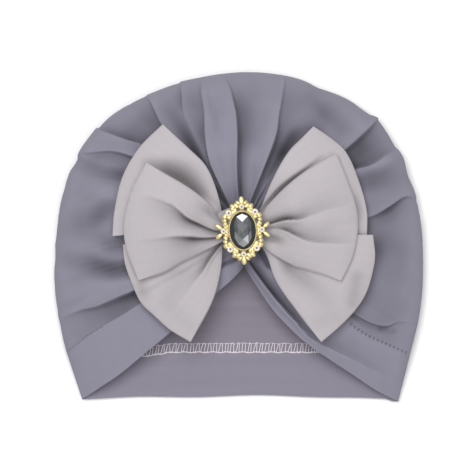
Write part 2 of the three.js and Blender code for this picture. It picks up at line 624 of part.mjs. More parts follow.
const bow = new THREE.Group();
cap.add(bow);
for (const ribbon of ribbons) {
  const sheet = ribbonSheet(ribbon);
  addPiece(bow, ribbon.name, thicken(sheet, normalsOf(sheet), RIBBON_WALL), satin);
}
const knot = addPiece(bow, "knot", knotGeometry(), satin);
knot.position.set(KNOT.x, BROOCH.y, 0);
knot.rotation.z = degToRad(KNOT.turn);

const brooch = new THREE.Group();
brooch.position.set(BROOCH.x, BROOCH.y, BROOCH.z);
brooch.rotation.z = degToRad(BROOCH.turn);
cap.add(brooch);
addPiece(brooch, "brooch_setting", settingGeometry(), gilt);
addPiece(brooch, "oval_stone", stoneGeometry, smokedGlass).position.z = 0.9 + GAP;
for (const { name, x, y, radius } of smallStones) {
  const stone = addPiece(brooch, name, smallStoneGeometry(radius), clearGlass);
  stone.position.set(x, y, CUP.floor + 0.3);
}

// The origin is under the middle of the cap, on the surface it lies on.
const extent = new THREE.Box3().setFromObject(cap, true);
const middle = extent.getCenter(new THREE.Vector3());
cap.position.set(-middle.x, -middle.y, -extent.min.z);

export default cap;
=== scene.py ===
"""A baby's turban cap of soft jersey with a bow of three looped ribbons and an oval brooch.

The cap lies on its back on a pale table and is looked at from straight above. Its front is
gathered to one point, so every fold of the crown runs out from there. Each piece is a surface
worked out from two parameters, in millimetres on the plan of the cap, and put in metres at the
end. Bearings are degrees from +X, counted towards +Y, and a share is a part of the way from the
gather to the outline of the cap.
"""
from collections import namedtuple

import bmesh
import bpy
import numpy as np
from bpy.props import FloatProperty, FloatVectorProperty, IntProperty, PointerProperty
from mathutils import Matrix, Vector


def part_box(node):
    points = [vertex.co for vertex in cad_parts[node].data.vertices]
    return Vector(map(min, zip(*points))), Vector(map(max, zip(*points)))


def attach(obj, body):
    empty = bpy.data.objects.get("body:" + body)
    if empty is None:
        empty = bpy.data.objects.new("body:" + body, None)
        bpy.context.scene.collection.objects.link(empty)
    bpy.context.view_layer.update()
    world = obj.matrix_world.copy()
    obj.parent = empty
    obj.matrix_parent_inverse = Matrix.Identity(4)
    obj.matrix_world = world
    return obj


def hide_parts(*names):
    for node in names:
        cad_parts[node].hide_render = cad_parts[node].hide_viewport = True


bl_info = {
    "name": "Turban cap with bow and brooch",
    "version": (1, 0, 0),
    "blender": (4, 5, 0),
    "location": "View3D > Sidebar > Turban cap",
    "description": "Builds a gathered jersey cap, its looped bow and its oval brooch",
    "category": "Add Mesh",
}

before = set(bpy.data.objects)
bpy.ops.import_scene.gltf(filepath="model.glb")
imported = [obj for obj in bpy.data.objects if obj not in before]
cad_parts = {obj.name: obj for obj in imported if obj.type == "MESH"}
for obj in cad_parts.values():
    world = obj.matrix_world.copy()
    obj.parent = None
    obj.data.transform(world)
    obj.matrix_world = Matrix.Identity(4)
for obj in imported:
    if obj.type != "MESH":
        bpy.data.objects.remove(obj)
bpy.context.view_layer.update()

# Places on the plan, in millimetres
GATHER = np.array([1.8, 2.9])
GATHER_HEIGHT = 14.0
BROOCH = np.array([2.0, 3.0])
BROOCH_HEIGHT = 30.4
BROOCH_TURN = 2.7
BACK_SEAM = -55.7
BACK_HEM = -76.4
# How far the crown's side and the hem's corners roll in under the cap
UNDER_CURL = 7.0
HEM_CURL = 2.6
# Shares of the rows over the crown's front, closer together near the outline, and the angles of
# those round its side
FRONT_SHARES = 1 - (1 - np.linspace(0.02, 1, 96)) ** 1.7
SIDE_TURN = np.linspace(0, np.pi / 2, 12)[1:]
# Depth of fold, in millimetres, at which the shade painted into the cloth's colour is at its darkest
JERSEY_DEEPEST = 6.2
RIBBON_DEEPEST = 3.4


def plan_shift():
    """Where the plan's own origin lies in the frame: the oval stone's middle less its place on the plan."""
    low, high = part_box("oval_stone")
    middle = np.array((low + high) / 2) * 1000
    return np.array([middle[0] - BROOCH[0], middle[1] - BROOCH[1], 0.0])


SHIFT = plan_shift()


def table(columns, rows):
    """A small table: one array for each named column."""
    return dict(zip(columns.split(), np.array(rows, float).T))


# Distance from the gather to the outline of the cap
OUTLINE = table("bearing reach", [
    (-42, 104.6), (-36.5, 100.0), (-30, 96.2), (-20, 91.6), (-10, 88.0), (0, 86.0), (10, 85.0), (20, 84.4),
    (29, 84.0), (35, 84.4), (39.5, 84.6), (43, 82.2), (50, 81.0), (60, 78.4), (70, 77.6), (80, 76.6),
    (95, 75.8), (105, 76.2), (112, 77.2), (120, 78.2), (130, 80.8), (138, 83.4), (146, 85.6), (155, 87.0),
    (165, 87.6), (175, 88.4), (185, 90.2), (195, 93.2), (205, 97.2), (214.5, 102.4),
])
# Height of the crown's middle and of its side fold
HEIGHTS = table("bearing loft edge", [
    (-42, 20, 5.5), (-36.5, 20.6, 5.8), (-20, 22.5, 7), (0, 24.5, 8), (20, 26, 8), (40, 28, 8),
    (60, 30, 8), (100, 30.5, 8), (120, 30, 8), (140, 28, 8), (160, 26, 8), (180, 24.5, 8),
    (200, 22.5, 7), (214.5, 20, 5.5),
])

# A fold of the crown. side 1 drops towards higher bearings, side -1 towards lower ones, and 0
# is a soft valley, or a ridge where its depth is negative. sharp is how far the drop takes and
# wide how far the cloth takes to come back up. line is share, bearing and depth along the fold.
# The folds' depth shapes the cloth and also darkens its colour, as painted shade.
Fold = namedtuple("Fold", "side sharp wide line")
FOLDS = {
    "right puff": Fold(-1, 0.9, 1.8, [
        (0.3, -35, 2), (0.67, -36.2, 5), (0.77, -35.3, 4.4), (0.85, -33.2, 3.0), (0.9, -30.4, 1.2),
        (1, -27, 0)]),
    "right low": Fold(0, 1, 6, [(0.3, -9, 2), (0.7, -7.5, 1.2), (0.78, -7, 2.0), (0.86, -6, 1), (1, -6, 0)]),
    "right near": Fold(0, 1, 4, [(0.5, 2, 1), (0.7, 2, 1.0), (0.77, 3, 0.4), (0.85, 3, 0), (1, 3, 0)]),
    "right third": Fold(-1, 0.9, 6, [
        (0.3, 5, 2), (0.71, 6.3, 2.4), (0.84, 9.5, 4.8), (0.94, 12, 2.6), (1, 11, 0.4)]),
    "right soft": Fold(0, 1, 4.5, [
        (0.5, 24, 1), (0.76, 21.5, 3.2), (0.86, 21, 2.6), (0.94, 20, 1.6), (1, 18, 0.8)]),
    "right ridge": Fold(0, 1, 4, [
        (0.5, 25, 0), (0.78, 25, -0.8), (0.86, 25, -2.0), (0.93, 25.5, -2.8), (1, 25, -0.8)]),
    "right second": Fold(1, 1.0, 8, [
        (0.3, 29, 3), (0.72, 28.4, 4.6), (0.83, 26.8, 4.0), (0.93, 27.6, 2.6), (1, 27.5, 0.4)]),
    "right first": Fold(-1, 0.9, 13, [
        (0.3, 36, 4), (0.74, 38.4, 4.5), (0.87, 38.9, 4.5), (0.95, 39.4, 3.2), (1, 39.8, 0.9)]),
    "right slope": Fold(0, 1, 5, [
        (0.5, 52, 2), (0.7, 53.5, 2.6), (0.8, 54, 1.4), (0.93, 55, 1.0), (1, 55, 0)]),
    "top right pleat": Fold(-1, 1.1, 10, [
        (0.2, 74.5, 5), (0.32, 72.3, 6), (0.52, 70.8, 6.5), (0.64, 71, 5.5), (0.74, 72.6, 3.4),
        (0.84, 73.5, 2.6), (0.94, 74.3, 1.4), (1, 75, 0.0)]),
    "top right thread": Fold(0, 1, 1.1, [(0.2, 65.5, -2.4), (0.38, 61.4, -1.6), (0.5, 60, 0), (1, 60, 0)]),
    "top right deep": Fold(0, 1, 4, [
        (0.3, 62, 2), (0.5, 62, 4), (0.66, 61, 4), (0.76, 60, 0.6), (1, 60, 0)]),
    "top middle pleat": Fold(-1, 0.9, 7.5, [
        (0.2, 97, 6.5), (0.43, 94.8, 6.2), (0.56, 93.4, 6.2), (0.72, 93.2, 5.2), (0.82, 94.2, 4.4),
        (0.92, 95.4, 1.2), (1, 98, 0.0)]),
    "top left pleat": Fold(1, 0.9, 7, [
        (0.2, 116, 3.6), (0.43, 115.6, 3.4), (0.49, 114.8, 3.6), (0.65, 110.8, 4.2), (0.78, 107.6, 2.8),
        (0.93, 106, 1.6), (1, 104, 0.0)]),
    "top left thin": Fold(1, 0.7, 3.0, [(0.19, 114.4, 1), (0.47, 110.8, 0.8), (0.56, 110, 0), (1, 108, 0)]),
    "top notch": Fold(1, 0.7, 4, [
        (0.5, 119, 0), (0.8, 116.5, 0.4), (0.86, 115.5, 1.6), (0.93, 113.8, 2.4), (1, 112.4, 0.5)]),
    "top left ridge": Fold(0, 1, 3, [
        (0.5, 117, 0), (0.7, 117, -0.8), (0.8, 117, -0.6), (0.9, 117, 0), (1, 117, 0)]),
    "top left valley": Fold(0, 1, 3.4, [
        (0.3, 123, 4), (0.55, 121.4, 5.8), (0.71, 121, 3.2), (0.85, 121, 1.6), (0.93, 121, 0.6),
        (1, 120, 0)]),
    "left first": Fold(1, 1.0, 9, [(0.5, 128, 4), (0.81, 126.9, 3.4), (0.95, 125.2, 2.4), (1, 124.8, 0.4)]),
    "left second": Fold(-1, 0.8, 5, [
        (0.5, 137, 4), (0.77, 139.8, 3.6), (0.81, 141.2, 3.8), (0.86, 142.6, 4.4), (0.97, 144.8, 3.2),
        (1, 145, 0.9)]),
    "left third": Fold(1, 0.8, 4.5, [
        (0.5, 142, 3), (0.75, 146, 4.2), (0.85, 148.4, 2.9), (0.95, 152.8, 1.6), (1, 154, 0.0)]),
    "left soft": Fold(0, 1, 3, [
        (0.5, 154, 2), (0.72, 155.5, 4.0), (0.8, 157, 3.2), (0.86, 158, 2.0), (0.94, 158, 1.8),
        (1, 158, 1)]),
    "left ridge": Fold(0, 1, 3.5, [(0.6, 165, 0), (0.76, 165, -1.6), (0.84, 165.5, -0.4), (1, 165, 0)]),
    "left dim": Fold(0, 1, 5.5, [
        (0.5, 171, 2), (0.7, 171, 1.8), (0.78, 173.5, 3.6), (0.86, 177, 2.4), (0.94, 178, 1.4),
        (1, 179, 0.4)]),
    "left near": Fold(0, 1, 4, [
        (0.5, 187, 2), (0.7, 186.4, 3.4), (0.79, 183, 1.6), (0.88, 182, 0.4), (1, 182, 0)]),
    "left low": Fold(0, 1, 4.2, [
        (0.5, 199, 5), (0.61, 198.4, 6), (0.7, 196.6, 6.8), (0.78, 194, 5.8), (0.86, 192, 3.0),
        (0.93, 189.8, 1.8), (1, 188, 0.6)]),
    "left faint": Fold(0, 1, 2, [(0.7, 203, 0), (0.81, 203, 0.4), (0.94, 203.4, 0.8), (1, 203, 0.2)]),
    "left last": Fold(1, 1.1, 16, [
        (0.3, 209, 5), (0.58, 208.6, 7.0), (0.69, 207.8, 5.4), (0.8, 207.2, 3.2), (0.88, 206, 1.8),
        (1, 205.5, 0.2)]),
}
# How far the cloth lies in between the gather and the rolled edge; this depth also darkens its colour as
# painted shade
SAG = table("bearing depth", [
    (-42, 1.6), (-20, 1.8), (0, 1.6), (14, 1.4), (24, 0.6), (34, 1.0), (45, 1.0), (52, 0.9), (62, 1.0),
    (76, 0.6), (88, 1.2), (102, 0.3), (112, 1.5), (120, 1.6), (128, 1.5), (138, 1.9), (146, 0.6),
    (152, 0.9), (160, 1.0), (180, 0.6), (200, 0.2), (216, 0.8),
])
# The crown's two side seams, by share and bearing
SEAMS = {
    "right": table("share bearing", [(0.3, -41.5), (0.7, -40.5), (0.9, -37.7), (1, -36.3)]),
    "left": table("share bearing", [(0.3, 216), (0.66, 215.2), (0.84, 214.2), (1, 214.6)]),
}
# Soft hollows that cross the folds, their depth also darkening the colour as painted shade: a line on the
# plan, its width and its depth
HOLLOWS = table("x1 y1 x2 y2 width depth", [
    (36.5, 68.1, 50.6, 53.0, 4.6, 1.6),
    (66, -3, 66, -9, 6, 0.9),
    (68.2, -44.6, 75.5, -45.8, 0.8, 1.7),
])
# Creases of the band about the middle of the arch, in the same columns; their depth also darkens the colour
# as painted shade
BAND_HOLLOWS = table("x1 y1 x2 y2 width depth", [
    (-8, -13.2, -1, -10.4, 0.9, 3.2),
    (-8, -9.5, -2, -7.5, 2.6, 2.0),
    (-12, -17, -4, -18.5, 1.6, -0.8),
    (2.7, -12.5, 2.7, -17.5, 0.9, 2.6),
    (10, -6, 14.5, -14, 1.1, 3.4),
    (8.4, -5, 8.6, -9, 2.0, 2.0),
])
# Soft hollows of the bow's lower wings, in the same columns; their depth also darkens the colour as painted
# shade
WING_HOLLOWS = table("x1 y1 x2 y2 width depth", [
    (-47, -24, -45.4, -28, 3.2, 0.8),
    (-27, -19, -33.8, -31.8, 5.2, 0.6),
    (-29, -39, -23.3, -43.3, 4.8, 0.45),
    (31, -20, 41.5, -31.3, 5.2, 0.5),
    (39, -41, 45.4, -39, 4.4, 0.45),
    (57, -20, 55, -31.8, 3.4, 1.0),
])
# The strip that rolls up beside the right side's hem: its width, how far it stands up, and how far
# the cloth takes to come back up beside it. The drop beside it is also darkened as painted shade.
STRIP = table("share width depth wide", [
    (0, 4, 2, 2.4), (0.06, 4.6, 6.5, 4), (0.2, 5.8, 7.5, 5), (0.32, 5.6, 7, 4.5), (0.42, 4.0, 4.4, 4),
    (0.5, 4.2, 2.6, 5), (0.6, 5.6, 2.4, 7), (0.7, 7.2, 1.8, 8), (0.85, 8.2, 0.8, 7), (0.95, 8.5, 0, 6),
    (1, 8.5, 0, 6),
])

# Where the hem runs on each side of the front, from the middle of the arch to the corner
HEM_LEFT = table("share x y z", [
    (0, 2.5, -14.4, 12.5), (0.1, -4.4, -21.6, 13.4), (0.3, -22.2, -36.5, 13.5), (0.5, -35.8, -48.4, 13),
    (0.6, -44.6, -55.6, 12.5), (0.75, -56.6, -65.6, 10), (0.85, -64.4, -70.9, 8), (1, -75, -78, 2.4),
])
HEM_RIGHT = table("share x y z", [
    (0, 2.8, -14.4, 12.5), (0.08, 7.9, -22.4, 13.4), (0.2, 16.2, -34.6, 14.5), (0.3, 24.6, -43.7, 14.7),
    (0.4, 31.9, -50.4, 14.5), (0.55, 42.4, -57.9, 12.5), (0.7, 55, -66.2, 10), (0.85, 66, -73.6, 6.8),
    (1, 76.6, -79, 2.4),
])

# A wing of the bow on the plan: its two long edges from the pinch out, and its outer end. near is
# the height of its under cloth over the crown at the pinch, first and second that at its two long
# edges, drop how far it comes down at the outer end, and part how far its two cloths part.
Wing = namedtuple("Wing", "one end two near first second drop part")
WINGS = {
    "up_right": Wing(
        [(9.4, 10.5), (15.1, 24.9), (19.9, 34.5), (24.7, 41.7), (29.5, 46.5), (35.8, 52.7)],
        [(35.8, 52.7), (43, 47.9), (51.1, 40.7), (56.9, 28.2), (61.2, 12.9), (61.4, 0.6)],
        [(7.6, 1.2), (28, 3), (61.4, 0.6)], 1.2, 1.2, 1.2, 0, 3.2),
    "down_left": Wing(
        [(-7.6, 2.2), (-22, 1.2), (-39, -0.6), (-55.2, -3.7)],
        [(-55.2, -3.7), (-54.4, -12.1), (-51.6, -20.7), (-46.6, -31.5), (-40.1, -37.9), (-32.9, -44.3),
         (-23, -50.3)],
        [(-7.6, -2.6), (-7.9, -10.2), (-8.9, -18.3), (-11.3, -27.9), (-15.1, -36.5), (-23, -50.3)],
        1.2, 1.2, 1.2, 0, 3.2),
    "up_left": Wing(
        [(-7.2, 9.6), (-11.3, 24.9), (-16, 34.5), (-24, 42.4), (-36.2, 53.7)],
        [(-36.2, 53.7), (-47.3, 42.6), (-55.4, 28.6), (-59.3, 11.9), (-60.2, 0.4)],
        [(-7.6, 2.2), (-30, 2.5), (-60.2, 0.4)], 4.4, 2.6, 2.8, 0, 3.2),
    "down_right": Wing(
        [(9.4, 1.2), (28, 1.6), (64.2, 0.9)],
        [(64.2, 0.9), (65.2, -9), (64.1, -16.6), (60.9, -27), (55.3, -35.6), (47.8, -43.3), (39.6, -50.3)],
        [(10.6, -3.5), (13.9, -9.8), (17, -19), (21.1, -26.2), (27, -34.2), (33.2, -42.4), (39.6, -50.3)],
        4.4, 4.4, 2.0, 0, 3.2),
    "front_left": Wing(
        [(-7.2, 8), (-11.3, 12.4), (-15.1, 16.9), (-23.3, 23.3), (-35.3, 30.4), (-43.9, 35.4)],
        [(-43.9, 35.4), (-50.6, 22.5), (-54.4, 9), (-54.6, 0.4), (-53, -7.3), (-47.8, -20.7)],
        [(-7.6, -2.2), (-18.5, -7.8), (-28.1, -12.6), (-35.3, -16.9), (-47.8, -20.7)],
        7.4, 8.4, 7.6, 0.8, 5.2),
    "front_right": Wing(
        [(10.4, 8.6), (14.2, 15.3), (24.7, 25.9), (35.8, 34), (46.8, 39.5)],
        [(46.8, 39.5), (51.9, 26.9), (56.2, 14), (56.9, 2.9), (54.5, -9.5), (49.1, -21)],
        [(10.6, -3), (15.9, -7.8), (25.7, -13.4), (33.8, -16), (49.1, -21)],
        7.4, 4.4, 8.0, 2.6, 5.0),
}
# Creases that run out over a wing: the side they drop to, then distance from the brooch's middle,
# bearing there, depth and width. The depth also darkens the upper cloth's colour, as painted shade.
CREASES = {
    "front_left": [
        (1, [(10, 180, 5, 1.6), (13.3, 178, 5.5, 1.6), (20.2, 170.5, 5.5, 2.0), (27.4, 166, 4.2, 3.8),
             (31.8, 162.4, 2.9, 5.6), (36, 160, 1.9, 7.5), (45, 160, 0.8, 8), (52, 161, 0.1, 8)]),
        (1, [(10, 193, 5, 1.6), (13.6, 191.8, 5, 1.8), (20.1, 188.8, 4.6, 2.6), (24.8, 186.2, 4.0, 4.6),
             (30.8, 185, 2.4, 6.5), (37, 185, 0.9, 7), (52, 185, 0, 7)]),
        (0, [(12, 149, 2, 2), (16, 149, 2, 2.2), (21, 149, 0.6, 2.5), (27, 149, 0, 2), (52, 149, 0, 2)]),
    ],
    "front_right": [
        (1, [(10, 10, 5, 1.6), (16.3, 12, 6, 1.9), (21, 12.5, 5.5, 2.2), (27, 10.5, 3.2, 3.2),
             (33.6, 12, 1.3, 6), (40, 13, 1, 8), (52, 13, 0.3, 9)]),
        (1, [(10, 1.6, 2.5, 0.8), (16.3, 1.2, 4.4, 1.0), (20, -1.0, 5.0, 1.8), (25.3, -6.4, 3.6, 3.4),
             (31.5, -9.4, 2.4, 5.2), (40.5, -9.2, 1.5, 7), (47, -8, 0.9, 7), (53, -7, 0.3, 7)]),
        (0, [(12, -15, 2, 2), (16.3, -15, 2, 2), (21, -16, 0.4, 2.5), (27, -16, 0, 2), (54, -16, 0, 2)]),
    ],
    "down_left": [
        (-1, [(12, 214, 4, 1.5), (16.3, 219, 4.4, 1.8), (21, 222.6, 4.4, 1.8), (27, 226.2, 2.6, 3),
              (33.6, 227, 1.0, 4), (42, 229, 0.3, 4), (60, 229, 0, 4)]),
    ],
    "down_right": [
        (0, [(14, -35, 0, 1), (21, -37, 1, 1.5), (27, -39, 2.0, 3.4), (33.6, -40, 1.1, 5),
             (40, -40, 0.5, 5), (50, -40, 0, 5), (66, -40, 0, 5)]),
    ],
    "up_left": [
        (0, [(12, 134, 0, 2), (21, 138, 1, 2), (27, 139.2, 2.6, 3.8), (34, 139.0, 3.0, 6.0),
             (40, 139.8, 3.1, 6.8), (47, 142.0, 2.8, 6.0), (53, 143.8, 1.5, 3.8), (60, 145, 0, 3)]),
    ],
    "up_right": [
        (0, [(12, 46, 1, 1), (16, 46.2, 2, 1), (21, 46.8, 3, 1.1), (27, 46.8, 3.2, 1.2),
             (33.6, 45.2, 3.1, 1.3), (40, 43.6, 2.5, 1.3), (47, 42.6, 1.2, 1.3), (54, 42.2, 0.0, 2)]),
        # A broad shallow crease over the wing's outer part beside the front wing's end, there mostly for its
        # painted shade
        (0, [(40, 12, 0, 5), (52, 12, 0, 6), (57, 11, 1.5, 8), (61, 10, 1.5, 8), (66, 10, 1, 8)]),
    ],
}
# The two wings of each ribbon
RIBBONS = {
    "ribbon_rising_right": ("down_left", "up_right"),
    "ribbon_rising_left": ("up_left", "down_right"),
    "ribbon_front": ("front_left", "front_right"),
}


def smooth(rows, key, column):
    """A curve through a table: a cubic between rows, its slope at a row set by the two neighbours."""
    xs, ys = np.asarray(rows[key], float), np.asarray(rows[column], float)
    order = np.arange(len(xs))
    before, after = np.maximum(order - 1, 0), np.minimum(order + 1, len(xs) - 1)
    slope = (ys[after] - ys[before]) / (xs[after] - xs[before])

    def at(x):
        x = np.clip(x, xs[0], xs[-1])
        i = np.clip(np.searchsorted(xs, x, side="right") - 1, 0, len(xs) - 2)
        width = xs[i + 1] - xs[i]
        f = (x - xs[i]) / width
        ends = ys[i] * (1 + 2 * f) * (1 - f) ** 2 + ys[i + 1] * f * f * (3 - 2 * f)
        return ends + width * f * (1 - f) * (slope[i] * (1 - f) - slope[i + 1] * f)

    return at


def run_length(points):
    """Distance along a path of points, from the first one."""
    return np.concatenate([[0], np.cumsum(np.linalg.norm(np.diff(points, axis=0), axis=1))])


def curves(rows, key, columns, at):
    """Several columns of a table, each as a smooth curve read at the same places."""
    return [smooth(rows, key, column)(at) for column in columns.split()]


def mean_length(grid):
    """Distance along a grid's first direction, the mean over its second."""
    steps = np.linalg.norm(np.diff(grid, axis=0), axis=2).mean(axis=1)
    return np.concatenate([[0], np.cumsum(steps)])


def path_curve(points):
    """A smooth curve through plan points, by its share of the way along their straight links."""
    points = np.array(points, float)
    length = run_length(points)
    rows = {"t": length / length[-1], "x": points[:, 0], "y": points[:, 1]}
    return lambda t: np.stack(curves(rows, "t", "x y", t), axis=-1)


def turned(x, y, degrees, place=(0.0, 0.0)):
    """Points of the plan turned about their own origin, which is then moved to a place."""
    cos, sin = np.cos(np.radians(degrees)), np.sin(np.radians(degrees))
    return place[0] + x * cos - y * sin, place[1] + x * sin + y * cos


def from_gather(bearing, distance, height):
    """Points at a distance from the gather on each bearing, at a height."""
    angle = np.radians(bearing)
    x, y = GATHER[0] + distance * np.cos(angle), GATHER[1] + distance * np.sin(angle)
    return np.stack([x, y, height + 0 * x], axis=-1)


def bearing_of(point):
    """Bearing of a point seen from the gather, from 0 to 360 degrees."""
    return np.degrees(np.arctan2(point[1] - GATHER[1], point[0] - GATHER[0])) % 360


def smoothstep(x, low, high):
    """0 below low, 1 above high, and a smooth rise between."""
    t = np.clip((x - low) / (high - low), 0, 1)
    return t * t * (3 - 2 * t)


def lerp(a, b, t):
    """The value a share t of the way from a to b."""
    return a + (b - a) * t


reach_at = smooth(OUTLINE, "bearing", "reach")
loft_at = smooth(HEIGHTS, "bearing", "loft")
edge_at = smooth(HEIGHTS, "bearing", "edge")


def front_height(bearing, share):
    """The unfolded front, a dome less a dip at the gather.

    The dome is edge + (loft - edge) times the root of 1 - share to the 2.6.
    """
    loft, edge = loft_at(bearing), edge_at(bearing)
    dome = edge + (loft - edge) * np.sqrt(np.maximum(0, 1 - share ** 2.6))
    return dome - (loft - GATHER_HEIGHT) * np.exp(-((share / 0.3) ** 2))


def bed_height(x, y):
    """The same height over any point of the plan, for the bow to lie on."""
    dx, dy = x - GATHER[0], y - GATHER[1]
    bearing = np.degrees(np.arctan2(dy, dx))
    bearing = np.where(bearing < -90, bearing + 360, bearing)
    return front_height(bearing, np.minimum(np.hypot(dx, dy) / reach_at(bearing), 1))


def fold_form(away, side, sharp, wide):
    """Shape of one fold across its line, 1 at its deepest.

    A valley is exp of minus away over wide squared. An edge drops on one side: a quick climb,
    1 - exp of minus away over sharp squared, times a slow decay, with a low roll on its high side.
    """
    if side == 0:
        return np.exp(-((away / wide) ** 2))
    down, up = np.maximum(away * side, 0), np.maximum(-away * side, 0)
    fall = np.exp(-((down / sharp) ** 2))
    roll = 0.22 * np.exp(-((up / (0.5 * wide)) ** 2)) * fall
    return (1 - fall) * np.exp(-((down / wide) ** 1.3)) - roll


def painted_fold_shade(depth, full):
    """Painted shade of a fold: it goes with its share of the full depth, and fastest at the end."""
    share = np.clip(depth / full, 0, 1)
    return 0.72 * share + 0.28 * share ** 4


def hollow_depth(rows, x, y):
    """Depth of the hollows over the plan, each its depth times exp of minus distance over width squared."""
    total = 0
    for x1, y1, x2, y2, width, depth in zip(*rows.values()):
        run_x, run_y = x2 - x1, y2 - y1
        along = np.clip(((x - x1) * run_x + (y - y1) * run_y) / (run_x ** 2 + run_y ** 2), 0, 1)
        away = np.hypot(x - lerp(x1, x2, along), y - lerp(y1, y2, along))
        total = total + depth * np.exp(-((away / width) ** 2))
    return total


def small_pleats(count):
    """Small soft pleats at chance bearings: each one's bearing, width, depth, start and finish."""
    chance = np.random.default_rng(21)
    start = chance.uniform(0.15, 0.85, count)
    bearing = chance.uniform(-34, 208, count)
    width = chance.uniform(0.7, 2.2, count)
    depth = chance.uniform(-0.35, 0.7, count)
    finish = start + chance.uniform(0.12, 0.35, count)
    return {"bearing": bearing, "width": width, "depth": depth, "start": start, "finish": finish}


PLEATS = small_pleats(70)
# The most that all folds together push the cloth in, in millimetres
MOST = 8


def fold_depth(bearing, share, distance):
    """How far the folds push the cloth in: each fold's depth times its form, the sag, and the hollows.

    The sum goes through MOST times the tangent hyperbolic of itself over MOST, so it stays below MOST.
    """
    sag = smooth(SAG, "bearing", "depth")(bearing)
    total = sag * smoothstep(share, 0.45, 0.65) * (1 - smoothstep(share, 0.86, 1))
    for fold in FOLDS.values():
        line, depth = curves(table("share line depth", fold.line), "share", "line depth", share)
        narrow = np.clip(share / 0.8, 0.22, 1)
        away = np.radians(bearing - line) * distance
        total += depth * fold_form(away, fold.side, fold.sharp * np.maximum(narrow, 0.6), fold.wide * narrow)
    place = from_gather(bearing, distance, 0)
    total += hollow_depth(HOLLOWS, place[..., 0], place[..., 1])
    for line, wide, depth, start, finish in zip(*PLEATS.values()):
        away = np.radians(bearing - line) * distance
        begun = smoothstep(share, start - 0.1, start + 0.05)
        ended = smoothstep(share, finish - 0.12, finish + 0.05)
        total += depth * np.exp(-((away / wide) ** 2)) * (begun * (1 - ended))
    return MOST * np.tanh(total / MOST) * smoothstep(share, 0.04, 0.2)


def cloth_ripple(x, y, size):
    """Slow small waves of soft cloth: five sines of different lengths and directions, added up."""
    waves = table("length turn phase share", [
        (9.5, 20, 0.4, 0.5), (14, 75, 1.9, 0.8), (19, 130, 3.1, 1.0),
        (12, 160, 4.4, 0.6), (27, 50, 5.2, 1.2),
    ])
    total = 0
    for length, turn, phase, share in zip(*waves.values()):
        along, _ = turned(x, y, -turn)
        total = total + share * np.sin(2 * np.pi * along / length + phase)
    return total * size / 2


# Meshes

def cells(index):
    """Faces of a grid of point numbers: four corners, or three where two neighbours are one point."""
    a, b, c, d = index[:-1, :-1], index[1:, :-1], index[1:, 1:], index[:-1, 1:]
    corners = np.stack([a, b, c, d], axis=-1).reshape(-1, 4)
    same = corners == np.roll(corners, -1, axis=1)
    faces = corners[~same.any(axis=1)].tolist()
    for k in range(4):
        merged = corners[same[:, k] & (same.sum(axis=1) == 1)]
        faces += np.delete(merged, k, axis=1).tolist()
    return faces


def grid_index(rows, columns, start=0):
    """Numbers of the points of a grid, row by row."""
    return start + np.arange(rows * columns).reshape(rows, columns)


def make_piece(name, points, faces, finish, uv=None, values=None, wall=0.0, flat=False):
    """One object from points in millimetres on the plan: its mesh, map, values, wall and material."""
    mesh = bpy.data.meshes.new(name)
    mesh.from_pydata(((points + SHIFT) / 1000).tolist(), [], faces)
    mesh.polygons.foreach_set("use_smooth", np.full(len(mesh.polygons), not flat))
    corner = np.zeros(len(mesh.loops), np.int32)
    if uv is not None:
        mesh.loops.foreach_get("vertex_index", corner)
        layer = mesh.uv_layers.new(name="cloth")
        layer.data.foreach_set("uv", (uv[corner] / 1000).ravel().astype(np.float32))
    for label, numbers in (values or {}).items():
        domain = "POINT" if len(numbers) == len(points) else "FACE"
        attribute = mesh.attributes.new(label, "FLOAT", domain)
        attribute.data.foreach_set("value", np.asarray(numbers, np.float32))
    if wall:
        mesh.loops.foreach_get("edge_index", corner)
        rim = np.bincount(corner, minlength=len(mesh.edges)) == 1
        mesh.attributes.new("sharp_edge", "BOOLEAN", "EDGE").data.foreach_set("value", rim)
    mesh.update()
    piece = bpy.data.objects.new(name, mesh)
    bpy.context.scene.collection.objects.link(piece)
    mesh.materials.append(finish)
    if wall:
        thick = piece.modifiers.new("wall", "SOLIDIFY")
        thick.thickness = wall / 1000
        thick.offset = -1
    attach(piece, "root")
    return piece


# Materials

class Value:
    """A socket in an expression: arithmetic on it adds Math nodes."""

    def __init__(self, finish, socket):
        self.finish, self.socket = finish, socket

    def _with(self, operation, first, second):
        return self.finish.node("ShaderNodeMath", {"operation": operation}, {0: first, 1: second})

    def __add__(self, other):
        return self._with("ADD", self, other)

    __radd__ = __add__

    def __mul__(self, other):
        return self._with("MULTIPLY", self, other)

    __rmul__ = __mul__


